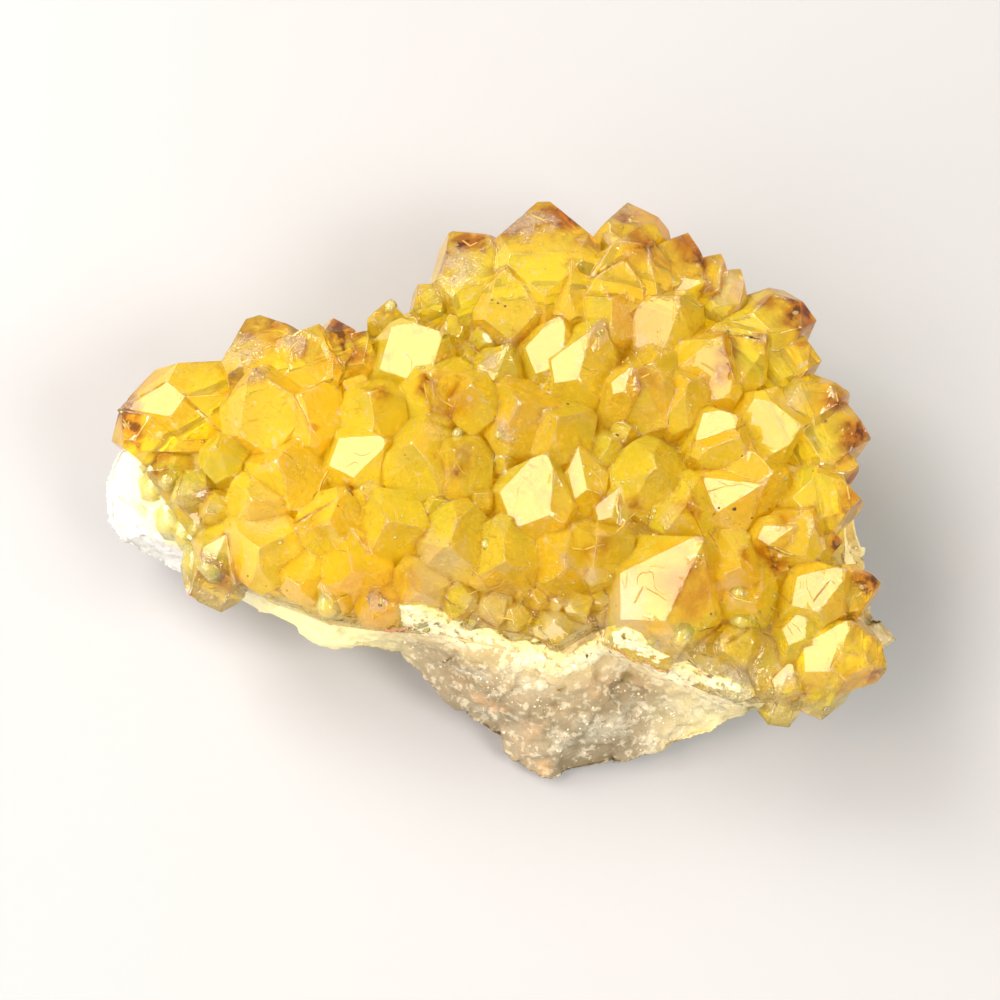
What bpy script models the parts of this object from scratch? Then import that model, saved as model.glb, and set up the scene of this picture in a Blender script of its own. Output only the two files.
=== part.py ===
"""A citrine crystal cluster on its white quartz matrix, as two closed solids.

Run it with: blender --background --python part.py
Units are metres and +Z is up. The origin is the middle of the flat that the matrix rests on,
+X runs along the specimen and -Y is the side where the crust is broken away.
"""

import math
import random

import bmesh
import bpy
from mathutils import Matrix, Vector, noise

MM = 0.001

# ---- Driving dimensions -------------------------------------------------------------------------
CRUST_THICKNESS = 2.4 * MM  # intergrown citrine that the points stand on
SEAM = 0.35 * MM  # gap left between the two solids
BED_TOP = 17.0 * MM  # height of the matrix under the middle of the crust
BED_FALL_X = 3.6 * MM  # how far the bed has fallen at BED_REACH_X from the middle
BED_FALL_Y = 3.4 * MM
BED_REACH_X = 42.0 * MM
BED_REACH_Y = 28.0 * MM
MIDDLE = Vector((0.0, 4.0 * MM))  # where the bed is highest, and what the outlines are star-shaped about

# Quartz: the six faces of a point stand at this angle to the axis, measured between normals.
POINT_ANGLE = math.radians(51.8)

# Outlines of the matrix in plan, anticlockwise, in millimetres. The belly is its widest line.
BASE_OUTLINE = (
    (24, 0), (20, 12), (8, 19), (-8, 17), (-22, 12), (-26, 5),
    (-20, -2), (-10, -8), (-3, -16), (3.5, -22.3), (13, -20), (21, -13),
)  # fmt: skip
BELLY_OUTLINE = (  # x, y, height
    (38.6, -5, 10), (38, 0, 11), (37, 5, 12), (31, 17, 11), (21, 26, 10), (8, 29, 9), (-6, 26, 9),
    (-17, 20, 8), (-30, 18, 9), (-42.6, 11.6, 10), (-44, 6, 9), (-42.2, 1.5, 7), (-38, -0.8, 7),
    (-31, -4.6, 9), (-23.5, -7.9, 9), (-18, -9.7, 9), (-11.5, -10.9, 7), (-2.8, -17.8, 3),
    (1.2, -21.8, 1.5), (4, -23.3, 1.2), (14, -20.9, 2.5), (24.7, -18.2, 6), (28, -16.4, 9),
    (35, -16, 12), (38, -12, 11), (41.2, -9.8, 10.5),
)  # fmt: skip
RIM_OUTLINE = (
    (33.5, -2), (32, 8), (28, 17), (20, 25), (9, 28), (-2, 27), (-8, 24), (-18, 20),
    (-28, 17), (-36, 12), (-38, 6), (-35, 1), (-28, -4.6), (-18, -8.6), (-9, -10), (0, -12),
    (5, -13), (12, -10.4), (18, -13.5), (24, -17), (33, -15.6), (35.5, -10),
)  # fmt: skip
CRUST_OUTLINE = (
    (35.5, -2), (34.5, 9), (30.5, 19), (21, 28), (10, 31.5), (-3, 29.5), (-9.5, 25.5), (-14, 23.5),
    (-20, 20), (-29, 18), (-37, 13), (-37.5, 6), (-34, 1), (-29, -4.6), (-18, -9.2), (-10, -10),
    (-4, -10), (0, -10.8), (5.5, -12.2), (9, -9.6), (14, -9.2), (17, -11.6), (20, -14.2),
    (23.5, -17), (34, -16.6), (36.5, -10),
)  # fmt: skip

# The points whose largest face looks the same way, up and a little to the left, so that one window
# lights them all: tip x, tip y, radius, length from the bed, the compass way in degrees from +X
# from the middle of that face to the tip, and how far its neighbours stand back. Millimetres.
WINDOW_FACE_LEAN = math.radians(20)
WINDOW_FACE_TOWARD = math.radians(200)
WINDOW_POINTS = (
    (-41.2, 13.5, 4.8, 13.0, 187, -0.04),
    (-7.2, 20.4, 4.7, 9.0, 25, 0.26),
    (-0.2, 19.2, 3.0, 8.0, 45, 0.0),
    (5.3, 22.3, 4.0, 8.8, 62, 0.12),
    (9.3, 21.6, 5.0, 10.4, 50, -0.06),
    (12.6, 16.4, 2.1, 10.4, 50, 0.0),
    (-12.9, 8.8, 4.1, 9.2, 20, 0.10),
    (3.7, 7.2, 5.1, 9.3, 62, 0.14),
    (7.1, 8.4, 3.5, 8.4, 80, 0.0),
    (11.3, 4.2, 2.5, 7.0, 52, 0.0),
    (23.5, 11.4, 3.1, 9.0, 25, 0.22),
    (25.9, 4.2, 4.7, 9.2, 10, 0.0),
    (19.2, -2.0, 7.1, 11.5, 41, 0.05),
    (29.2, 0.0, 2.5, 8.5, 15, 0.0),
    (34.2, -4.6, 4.0, 9.6, 30, 0.10),
    (30.7, -7.4, 3.0, 8.0, 62, 0.0),
    (34.8, -9.6, 4.2, 8.6, 45, 0.05),
    (29.2, -13.3, 2.2, 4.7, 60, 0.1),
    (-27.5, 1.2, 4.0, 8.6, 42, -0.15),
    (20.4, 26.5, 2.3, 9.4, 5, 0.0),
)

# The other large points: tip x, tip y, radius, length from the bed, the way it leans, its lean,
# and how much of the tip is broken off, of its radius.
LARGE_POINTS = (
    # around the left lobe
    (-42.8, 11.2, 3.6, 11.0, 184, 74, 0.4),
    (-26.8, 23.7, 5.6, 10.8, 104, 48, 0.5),
    (-26.2, 15.6, 5.7, 10.8, 112, 22, 0.0),
    (-20.0, 21.3, 4.7, 9.8, 68, 36, 0.15),
    (-18.0, 23.0, 3.2, 8.6, 82, 50, 0.3),
    (-15.0, 21.5, 2.8, 7.0, 58, 40, 0.0),
    (-9.5, 27.2, 2.4, 6.2, 120, 45, 0.3),
    (-13.0, 25.2, 2.4, 5.6, 92, 40, 0.3),
    (-30.5, 8.5, 2.9, 7.6, 150, 12, 0.0),
    (-38.0, 7.0, 2.2, 6.0, 190, 52, 0.0),
    (-34.5, 4.0, 2.6, 6.0, 215, 34, 0.0),
    (-31.5, 2.0, 2.2, 5.6, 220, 26, 0.0),
    (-30.2, -2.0, 2.2, 5.8, 238, 26, 0.4),
    (-25.5, -2.6, 4.9, 8.8, 262, 12, 0.0),
    (-18.5, 0.0, 4.2, 8.6, 270, 10, 0.0),
    (-16.0, -5.0, 4.6, 8.4, 268, 16, 0.0),
    (-24.0, 6.5, 4.8, 8.8, 150, 8, 0.0),
    (-21.5, 13.5, 4.6, 9.2, 110, 14, 0.0),
    (-26.5, 2.5, 4.0, 8.2, 240, 10, 0.0),
    (-21.5, -6.0, 3.2, 6.8, 262, 26, 0.0),
    # around the upper lobe
    (-5.4, 32.4, 5.0, 11.5, 112, 46, 0.45),
    (3.4, 35.2, 6.9, 13.8, 94, 44, 0.55),
    (13.3, 36.3, 4.5, 12.3, 86, 56, 0.45),
    (13.5, 31.5, 5.8, 12.0, 80, 34, 0.15),
    (19.0, 32.0, 4.0, 11.0, 62, 48, 0.2),
    (22.5, 30.0, 3.2, 9.6, 56, 48, 0.2),
    (24.5, 28.5, 3.2, 8.8, 50, 46, 0.2),
    (-0.5, 27.0, 4.6, 9.8, 108, 24, 0.0),
    (6.5, 28.0, 4.8, 10.0, 88, 20, 0.0),
    (12.0, 28.0, 5.4, 10.4, 78, 20, 0.0),
    (17.5, 24.0, 4.8, 9.8, 52, 18, 0.0),
    (10.5, 24.0, 4.0, 9.2, 80, 14, 0.0),
    # down the right side
    (22.0, 19.5, 5.4, 10.0, 52, 20, 0.0),
    (26.5, 20.0, 4.6, 10.0, 20, 30, 0.0),
    (32.2, 23.2, 4.3, 11.0, 8, 54, 0.2),
    (32.6, 18.6, 3.8, 9.5, -4, 50, 0.2),
    (37.4, 10.0, 4.9, 11.0, -12, 50, 0.2),
    (35.0, 14.8, 4.0, 10.5, 22, 46, 0.2),
    (36.2, 6.8, 3.0, 9.5, -6, 50, 0.0),
    (36.0, 3.0, 4.2, 10.0, -6, 44, 0.0),
    (30.0, 10.5, 4.8, 9.6, -22, 30, 0.0),
    (23.5, 9.0, 4.2, 8.8, 0, 14, 0.0),
    (27.0, 5.5, 4.4, 9.0, -5, 20, 0.0),
    (31.0, 1.5, 3.8, 9.0, 50, 26, 0.0),
    (34.5, -1.0, 2.3, 7.4, -8, 52, 0.0),
    (38.9, -12.9, 4.1, 9.2, -10, 52, 0.3),
    (35.4, -13.4, 2.8, 5.6, 300, 24, 0.3),
    (38.2, -5.2, 3.0, 9.5, 12, 52, 0.2),
    (29.4, -16.0, 2.2, 4.2, 278, 20, 0.0),
    # over the middle
    (-10.0, 8.0, 5.3, 9.2, 150, 8, 0.0),
    (-8.0, 15.5, 4.7, 9.2, 140, 10, 0.0),
    (-6.0, -2.5, 5.2, 8.8, 255, 12, 0.0),
    (-0.5, -4.0, 4.8, 8.4, 275, 15, 0.0),
    (6.0, -4.5, 4.5, 8.0, 270, 18, 0.0),
    (9.0, -1.5, 4.2, 8.2, 100, 8, 0.0),
    (14.8, 16.6, 6.0, 10.0, 95, 8, 0.0),
    (1.0, 12.5, 5.0, 9.0, 120, 6, 0.0),
    (-5.5, 7.5, 4.3, 8.4, 100, 6, 0.0),
    (5.0, 11.0, 4.4, 8.8, 100, 6, 0.0),
    (15.0, 5.5, 4.8, 9.0, 0, 6, 0.0),
    (18.5, 15.0, 4.4, 9.2, 45, 10, 0.0),
    (-12.5, 0.0, 4.4, 8.4, 240, 8, 0.0),
    (-9.5, -7.2, 3.8, 7.4, 262, 20, 0.0),
    (-13.6, -8.6, 3.4, 6.6, 262, 26, 0.3),
    (-18.0, -7.6, 2.8, 6.0, 262, 28, 0.0),
    (-14.5, 13.5, 4.2, 8.8, 100, 10, 0.0),
    (-4.0, 14.5, 4.0, 8.8, 110, 8, 0.0),
    (18.5, 2.0, 4.2, 8.6, 300, 6, 0.0),
    (23.5, -4.5, 4.8, 8.8, 315, 12, 0.0),
    (25.0, -8.0, 4.0, 7.8, 292, 20, 0.0),
    (19.5, -9.5, 2.6, 6.4, 280, 22, 0.0),
    (24.0, -13.0, 2.8, 6.0, 285, 30, 0.4),
)

# Small points fill the gaps between the large ones.
SMALL_SEED = 11
SMALL_TRIES = 700
SMALL_RADIUS = (1.3 * MM, 2.6 * MM)
SMALL_SPACING = 0.66  # of the sum of two radii
LEAN_AT_EDGE = math.radians(48)

FACE_SEED = 5
FACE_STEP_BACK = (0.06, 0.30)  # how far every other face of a point stands back, of its radius

WINDOW_CLEARANCE = math.radians(11)  # the least angle from the window faces' way to any other point's face
WINDOW_TURN = math.radians(10)

BLUNT_TILT = math.radians(12)  # between a broken tip's flat and the square-on cut

WELD = 0.005 * MM  # corners nearer than this are one

ROOT_DEPTH = 2.5 * MM  # how far a crystal starts below the bed, before the matrix is cut away
FOOT_DROP = 1.6 * MM  # how far the crust reaches below the level of the bed where it overhangs
BELLY_STEPS = 84
WALL_RINGS = 5  # from base to belly, and again from belly to rim
BED_RINGS = 6
LUMP_HEIGHT = 1.4 * MM
LUMP_SIZE = 7.0 * MM
CHIP_HEIGHT = 1.1 * MM
CHIP_SIZE = 3.2 * MM


def clear_scene():
    for obj in list(bpy.data.objects):
        bpy.data.objects.remove(obj, do_unlink=True)


def bed_height(x, y):
    """Height of the bed that the crust grew on: a low dome, higher in the middle."""
    fall_x = BED_FALL_X * ((x - MIDDLE.x) / BED_REACH_X) ** 2
    fall_y = BED_FALL_Y * ((y - MIDDLE.y) / BED_REACH_Y) ** 2
    return BED_TOP - fall_x - fall_y


def cross_2d(a, b):
    return a.x * b.y - a.y * b.x


def outline_point(outline, direction):
    """Where the ray from MIDDLE along direction crosses an outline, with the height there if it has one."""
    corners = [Vector((c[0], c[1])) * MM - MIDDLE for c in outline]
    heights = [c[2] * MM if len(c) > 2 else 0.0 for c in outline]
    for i, start in enumerate(corners):
        j = (i + 1) % len(corners)
        edge = corners[j] - start
        turn = cross_2d(direction, edge)
        if abs(turn) < 1e-12:
            continue
        reach = cross_2d(start, edge) / turn
        share = cross_2d(start, direction) / turn
        if reach > 0 and 0 <= share <= 1:
            height = heights[i] + share * (heights[j] - heights[i])
            return MIDDLE + direction * reach, height
    raise ValueError("the outline doesn't surround MIDDLE")


def even_directions(outline, count):
    """Unit vectors from MIDDLE to points spaced evenly along an outline."""
    corners = [Vector((c[0], c[1])) * MM for c in outline]
    lengths = [(corners[(i + 1) % len(corners)] - c).length for i, c in enumerate(corners)]
    step = sum(lengths) / count
    directions = []
    done = 0.0
    for i, start in enumerate(corners):
        end = corners[(i + 1) % len(corners)]
        while len(directions) * step < done + lengths[i] and len(directions) < count:
            share = (len(directions) * step - done) / lengths[i]
            directions.append((start.lerp(end, share) - MIDDLE).normalized())
        done += lengths[i]
    return directions


def broken_height(point, normal_share):
    """How far the broken rock stands out at a point: rounded lumps, with flat-floored chips cut in."""
    lumps = noise.noise(point / LUMP_SIZE) * LUMP_HEIGHT
    cells, _ = noise.voronoi(point / CHIP_SIZE)
    chips = (min(cells[0], 0.8) - 0.4) * CHIP_HEIGHT
    return (lumps + chips) * normal_share


def mesh_object(name, mesh_data):
    obj = bpy.data.objects.new(name, mesh_data)
    bpy.context.scene.collection.objects.link(obj)
    return obj


def ring_solid(name, rings, top_centre, base_centre):
    """Closes a stack of equal rings, from the lowest up, with a flat base and a fan on top."""
    bm = bmesh.new()
    rows = [[bm.verts.new(point) for point in ring] for ring in rings]
    count = len(rows[0])
    for low, high in zip(rows, rows[1:]):
        for i in range(count):
            j = (i + 1) % count
            bm.faces.new((low[i], low[j], high[j], high[i]))
    peak = bm.verts.new(top_centre)
    for i in range(count):
        bm.faces.new((rows[-1][i], rows[-1][(i + 1) % count], peak))
    foot = bm.verts.new(base_centre)
    for i in range(count):
        bm.faces.new((rows[0][(i + 1) % count], rows[0][i], foot))
    bmesh.ops.recalc_face_normals(bm, faces=bm.faces)
    mesh = bpy.data.meshes.new(name)
    bm.to_mesh(mesh)
    bm.free()
    return mesh_object(name, mesh)


def build_matrix(name):
    """The white quartz: a flat base, a sloping broken wall out to the belly and in to the rim, and the bed."""
    directions = even_directions(BELLY_OUTLINE, BELLY_STEPS)
    rings = []
    for k in range(2 * WALL_RINGS + 1):
        ring = []
        for direction in directions:
            base, _ = outline_point(BASE_OUTLINE, direction)
            belly, belly_height = outline_point(BELLY_OUTLINE, direction)
            rim, _ = outline_point(RIM_OUTLINE, direction)
            rim_height = bed_height(rim.x, rim.y)
            if k <= WALL_RINGS:
                share = k / WALL_RINGS
                plan = base.lerp(belly, share)
                height = belly_height * share
            else:
                share = (k - WALL_RINGS) / WALL_RINGS
                plan = belly.lerp(rim, share)
                height = belly_height + (rim_height - belly_height) * share
            place = Vector((plan.x, plan.y, height))
            rough = math.sin(math.pi * k / (2 * WALL_RINGS)) ** 0.5 if 0 < k < 2 * WALL_RINGS else 0.0
            place += Vector((direction.x, direction.y, 0.0)) * broken_height(place, rough)
            ring.append(place)
        rings.append(ring)
    for k in range(1, BED_RINGS):
        share = k / BED_RINGS
        ring = []
        for direction in directions:
            rim, _ = outline_point(RIM_OUTLINE, direction)
            plan = rim.lerp(MIDDLE, share)
            ring.append(Vector((plan.x, plan.y, bed_height(plan.x, plan.y))))
        rings.append(ring)
    top = Vector((MIDDLE.x, MIDDLE.y, bed_height(MIDDLE.x, MIDDLE.y)))
    return ring_solid(name, rings, top, Vector((0.0, 0.0, 0.0)))


def build_crust_slab(name):
    """The sheet of intergrown quartz between the bed and the points."""
    directions = even_directions(CRUST_OUTLINE, BELLY_STEPS // 2)
    rings = []
    for share, lift in ((1.0, -2.0 * MM), (1.0, CRUST_THICKNESS * 0.6), (0.96, CRUST_THICKNESS)):
        ring = []
        for direction in directions:
            edge, _ = outline_point(CRUST_OUTLINE, direction)
            plan = MIDDLE.lerp(edge, share)
            ring.append(Vector((plan.x, plan.y, bed_height(plan.x, plan.y) + lift)))
        rings.append(ring)
    for k in range(1, BED_RINGS):
        ring = []
        for direction in directions:
            edge, _ = outline_point(CRUST_OUTLINE, direction)
            plan = MIDDLE.lerp(edge, 0.96 * (1 - k / BED_RINGS))
            ring.append(Vector((plan.x, plan.y, bed_height(plan.x, plan.y) + CRUST_THICKNESS)))
        rings.append(ring)
    height = bed_height(MIDDLE.x, MIDDLE.y)
    top = Vector((MIDDLE.x, MIDDLE.y, height + CRUST_THICKNESS))
    foot = Vector((MIDDLE.x, MIDDLE.y, height - 2.0 * MM))
    return ring_solid(name, rings, top, foot)


def build_growing_space(name):
    """The room above the bed and its continuation past the rim, which trims the feet of the outer points."""
    directions = even_directions(CRUST_OUTLINE, BELLY_STEPS // 3)
    rings = []
    for share in (0.6, 1.0, 1.4):
        ring = []
        for direction in directions:
            edge, _ = outline_point(CRUST_OUTLINE, direction)
            plan = MIDDLE.lerp(edge, share)
            ring.append(Vector((plan.x, plan.y, bed_height(plan.x, plan.y) - FOOT_DROP)))
        rings.append(ring)
    rings.append([Vector((point.x, point.y, 2 * BED_TOP)) for point in rings[-1]])
    height = bed_height(MIDDLE.x, MIDDLE.y)
    foot = Vector((MIDDLE.x, MIDDLE.y, height - FOOT_DROP))
    return ring_solid(name, rings, Vector((MIDDLE.x, MIDDLE.y, 2 * BED_TOP)), foot)


def leaning(toward, lean):
    """The unit vector that leans from +Z by lean, towards a compass angle."""
    flat = math.sin(lean)
    return Vector((flat * math.cos(toward), flat * math.sin(toward), math.cos(lean)))


def crystal_frame(axis, face_way):
    """A rotation whose Z is the crystal's axis and whose X is as near face_way as it can be."""
    x = (face_way - axis * face_way.dot(axis)).normalized()
    y = axis.cross(x)
    return Matrix((x, y, axis)).transposed().to_4x4()


def build_crystal(name, tip, axis, face_way, radius, length, steps, blunt=0.0):
    """A six-sided prism brought to a point at tip by six sloping cuts; steps holds how far each stands back."""
    bm = bmesh.new()
    whole = length + ROOT_DEPTH
    bmesh.ops.create_cone(bm, cap_ends=True, segments=6, radius1=radius, radius2=radius, depth=whole)
    bmesh.ops.rotate(bm, verts=bm.verts, cent=(0, 0, 0), matrix=Matrix.Rotation(math.pi / 6, 3, "Z"))
    bmesh.ops.translate(bm, verts=bm.verts, vec=(0, 0, -whole / 2))
    cuts = []
    for k, step in enumerate(steps):
        around = k * math.pi / 3
        cuts.append((step, leaning(around, POINT_ANGLE)))
    if blunt:
        cuts.append((-blunt, leaning(0.0, BLUNT_TILT)))
    for step, normal in cuts:
        geometry = bm.verts[:] + bm.edges[:] + bm.faces[:]
        cut = bmesh.ops.bisect_plane(
            bm, geom=geometry, plane_co=normal * step * radius, plane_no=normal, clear_outer=True
        )
        edges = [e for e in cut["geom_cut"] if isinstance(e, bmesh.types.BMEdge)]
        bmesh.ops.holes_fill(bm, edges=edges)
    bmesh.ops.remove_doubles(bm, verts=bm.verts, dist=WELD)
    bmesh.ops.recalc_face_normals(bm, faces=bm.faces)
    bmesh.ops.transform(bm, matrix=Matrix.Translation(tip) @ crystal_frame(axis, face_way), verts=bm.verts)
    mesh = bpy.data.meshes.new(name)
    bm.to_mesh(mesh)
    bm.free()
    return mesh_object(name, mesh)


def tip_above_bed(x, y, axis, length):
    """The tip over (x, y) of a crystal whose foot is on the bed, length back along its axis."""
    foot = Vector((x, y)) - Vector((axis.x, axis.y)) * length
    return Vector((x, y, bed_height(foot.x, foot.y) + axis.z * length))


def turned_off_window(axis, face_way):
    """Turns a point about its axis, a little at a time, until none of its six faces looks the window faces' way."""
    window_normal = leaning(WINDOW_FACE_TOWARD, WINDOW_FACE_LEAN)
    for turn in (0, 1, -1, 2, -2, 3):
        way = face_way.copy()
        way.rotate(Matrix.Rotation(turn * WINDOW_TURN, 3, axis))
        frame = crystal_frame(axis, way).to_3x3()
        normals = [frame @ leaning(k * math.pi / 3, POINT_ANGLE) for k in range(6)]
        if min(normal.angle(window_normal) for normal in normals) > WINDOW_CLEARANCE:
            break
    return way


def build_points():
    """All the crystals, as separate solids, before they are joined."""
    rng = random.Random(FACE_SEED)
    made = []
    places = []

    def add(x, y, axis, face_way, radius, length, steps, blunt=0.0):
        tip = tip_above_bed(x, y, axis, length)
        made.append(build_crystal(f"point_{len(made)}", tip, axis, face_way, radius, length, steps, blunt))
        places.append((Vector((x, y)) - Vector((axis.x, axis.y)) * radius, radius))

    def uneven_steps():
        return [rng.uniform(*FACE_STEP_BACK) if k % 2 else rng.uniform(0.0, 0.05) for k in range(6)]

    window_normal = leaning(WINDOW_FACE_TOWARD, WINDOW_FACE_LEAN)
    for x, y, radius, length, heading, step in WINDOW_POINTS:
        along = leaning(math.radians(heading), math.pi / 2)
        slope = (along - window_normal * along.dot(window_normal)).normalized()
        axis = window_normal * math.cos(POINT_ANGLE) + slope * math.sin(POINT_ANGLE)
        steps = (0.0, step, 0.05, 0.15, 0.05, step)
        add(x * MM, y * MM, axis, window_normal, radius * MM, length * MM, steps)
    for x, y, radius, length, toward, lean, blunt in LARGE_POINTS:
        axis = leaning(math.radians(toward), math.radians(lean))
        face_way = leaning(rng.uniform(0, 2 * math.pi), math.pi / 2)
        if lean > 20:
            face_way = Vector((0.0, 0.0, 1.0))
            face_way.rotate(Matrix.Rotation(rng.uniform(-0.5, 0.5), 3, axis))
        face_way = turned_off_window(axis, face_way)
        add(x * MM, y * MM, axis, face_way, radius * MM, length * MM, uneven_steps(), blunt)

    scatter = random.Random(SMALL_SEED)
    for _ in range(SMALL_TRIES):
        direction = leaning(scatter.uniform(0, 2 * math.pi), math.pi / 2).to_2d()
        edge, _ = outline_point(CRUST_OUTLINE, direction)
        share = math.sqrt(scatter.uniform(0.0, 1.0))
        place = MIDDLE.lerp(edge, share)
        radius = scatter.uniform(*SMALL_RADIUS)
        if any((place - other).length < SMALL_SPACING * (radius + r) for other, r in places):
            continue
        lean = LEAN_AT_EDGE * share**3 + scatter.uniform(0, math.radians(14))
        toward = math.atan2(direction.y, direction.x) + scatter.uniform(-0.5, 0.5)
        axis = leaning(toward, lean)
        face_way = turned_off_window(axis, leaning(scatter.uniform(0, 2 * math.pi), math.pi / 2))
        length = CRUST_THICKNESS + radius * scatter.uniform(1.3, 2.0)
        add(place.x, place.y, axis, face_way, radius, length, uneven_steps())
    return made


def boolean(obj, operation, other=None, group=None):
    modifier = obj.modifiers.new(operation.title(), "BOOLEAN")
    modifier.operation = operation
    modifier.solver = "EXACT"
    if group:
        modifier.operand_type = "COLLECTION"
        modifier.collection = group
    else:
        modifier.object = other


def hide_helper(obj):
    obj.hide_render = True
    obj.display_type = "WIRE"


def fill_pockets(obj):
    """Applies the modifiers, then removes every shell but the outer one: leaning points can seal in a tiny gap."""
    graph = bpy.context.evaluated_depsgraph_get()
    mesh = bpy.data.meshes.new_from_object(obj.evaluated_get(graph))
    bm = bmesh.new()
    bm.from_mesh(mesh)
    left = set(bm.verts)
    shells = []
    while left:
        shell = set()
        front = [left.pop()]
        while front:
            vert = front.pop()
            shell.add(vert)
            for edge in vert.link_edges:
                other = edge.other_vert(vert)
                if other in left:
                    left.remove(other)
                    front.append(other)
        shells.append(shell)
    shells.sort(key=len)
    for shell in shells[:-1]:
        bmesh.ops.delete(bm, geom=list(shell), context="VERTS")
    bm.to_mesh(mesh)
    bm.free()
    obj.modifiers.clear()
    obj.data = mesh


def stone_material(name, colour, roughness, transmission=0.0, ior=1.5):
    material = bpy.data.materials.new(name)
    material.use_nodes = True
    shader = material.node_tree.nodes["Principled BSDF"]
    shader.inputs["Base Color"].default_value = (*colour, 1.0)
    shader.inputs["Roughness"].default_value = roughness
    shader.inputs["Metallic"].default_value = 0.0
    shader.inputs["Transmission Weight"].default_value = transmission
    shader.inputs["IOR"].default_value = ior
    return material


def build_cutter():
    """The matrix grown by the seam, which cuts the crust's underside to fit it."""
    cutter = build_matrix("matrix_with_seam")
    bm = bmesh.new()
    bm.from_mesh(cutter.data)
    bm.normal_update()
    for vert in bm.verts:
        vert.co += vert.normal * SEAM
    bm.to_mesh(cutter.data)
    bm.free()
    hide_helper(cutter)
    return cutter


def main():
    clear_scene()
    matrix = build_matrix("quartz_matrix")
    matrix.data.materials.append(stone_material("white_quartz", (0.80, 0.76, 0.66), 0.6))

    crust = build_crust_slab("citrine_crystals")
    crust.data.materials.append(stone_material("citrine", (0.95, 0.68, 0.12), 0.08, 0.9, 1.545))
    points = bpy.data.collections.new("points")
    bpy.context.scene.collection.children.link(points)
    for point in build_points():
        bpy.context.scene.collection.objects.unlink(point)
        points.objects.link(point)
        hide_helper(point)
    boolean(crust, "UNION", group=points)
    space = build_growing_space("growing_space")
    hide_helper(space)
    boolean(crust, "INTERSECT", other=space)
    boolean(crust, "DIFFERENCE", other=build_cutter())
    fill_pockets(crust)


main()
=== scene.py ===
"""A citrine crystal cluster on its broken white quartz matrix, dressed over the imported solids."""

import math

import bmesh
import bpy
import numpy as np
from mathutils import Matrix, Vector
from mathutils.bvhtree import BVHTree


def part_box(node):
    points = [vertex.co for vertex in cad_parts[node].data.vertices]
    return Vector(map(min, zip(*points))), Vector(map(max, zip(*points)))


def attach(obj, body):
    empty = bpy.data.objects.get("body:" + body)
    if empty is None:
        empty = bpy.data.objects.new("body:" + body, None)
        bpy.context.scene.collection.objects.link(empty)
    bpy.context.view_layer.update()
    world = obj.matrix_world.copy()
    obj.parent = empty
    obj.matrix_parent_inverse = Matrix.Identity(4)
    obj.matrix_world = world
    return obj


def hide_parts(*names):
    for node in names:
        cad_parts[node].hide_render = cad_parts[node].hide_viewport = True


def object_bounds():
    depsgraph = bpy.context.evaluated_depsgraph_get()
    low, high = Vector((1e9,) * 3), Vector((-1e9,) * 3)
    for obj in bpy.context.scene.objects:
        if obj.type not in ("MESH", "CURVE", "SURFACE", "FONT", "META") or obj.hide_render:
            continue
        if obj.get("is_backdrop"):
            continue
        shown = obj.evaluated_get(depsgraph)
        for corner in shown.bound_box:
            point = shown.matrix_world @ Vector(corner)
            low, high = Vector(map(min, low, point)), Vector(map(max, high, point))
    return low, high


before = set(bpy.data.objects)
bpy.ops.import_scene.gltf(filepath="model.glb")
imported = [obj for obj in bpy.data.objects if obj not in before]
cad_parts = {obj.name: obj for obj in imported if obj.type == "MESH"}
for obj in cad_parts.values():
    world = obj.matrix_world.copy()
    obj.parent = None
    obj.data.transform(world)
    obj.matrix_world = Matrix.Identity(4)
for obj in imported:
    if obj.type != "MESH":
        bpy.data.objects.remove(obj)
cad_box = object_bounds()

# ---- Bench camera -------------------------------------------------------------------------------
# The camera stands over the specimen, a little to its front. Stains, cracks and specks are given
# in its frame, and each one lands where the line of sight through it first meets the stone.
MM = 0.001
LOOK_AT = Vector((-0.001, 0.003, 0.022))
VIEW_RISE = math.radians(77.0)
VIEW_DISTANCE = 0.2867
LENS = 100.0
SENSOR = 36.0
FRAME_STEPS = 1000.0  # a mark's place is counted across and down the frame in this many steps

to_eye = Vector((0.0, -math.cos(VIEW_RISE), math.sin(VIEW_RISE)))
frame_up = Vector((0.0, math.sin(VIEW_RISE), math.cos(VIEW_RISE)))
eye = bpy.data.cameras.new("bench_camera")
eye.lens = LENS
eye.sensor_width = SENSOR
eye.clip_start = MM
camera = bpy.data.objects.new("bench_camera", eye)
camera.location = LOOK_AT + to_eye * VIEW_DISTANCE
camera.rotation_euler = (-to_eye).to_track_quat("-Z", "Y").to_euler()
bpy.context.scene.collection.objects.link(camera)
bpy.context.scene.camera = camera


def merged_copy(node):
    """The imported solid's loose triangles joined into one closed shell."""
    bm = bmesh.new()
    bm.from_mesh(node.data)
    bmesh.ops.remove_doubles(bm, verts=bm.verts, dist=1e-6)
    return bm


def shape_tree(name):
    """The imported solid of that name, ready for lines of sight to be tried against it."""
    bm = merged_copy(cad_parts[name])
    tree = BVHTree.FromBMesh(bm)
    bm.free()
    return tree


stone_trees = {name: shape_tree(name) for name in ("citrine_crystals", "quartz_matrix")}


def remember(name, points, faces):
    """Keeps a finished stone's surface for the lines of sight of the pieces set on it."""
    stone_trees[name] = BVHTree.FromPolygons(points.tolist(), faces.tolist())


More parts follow.
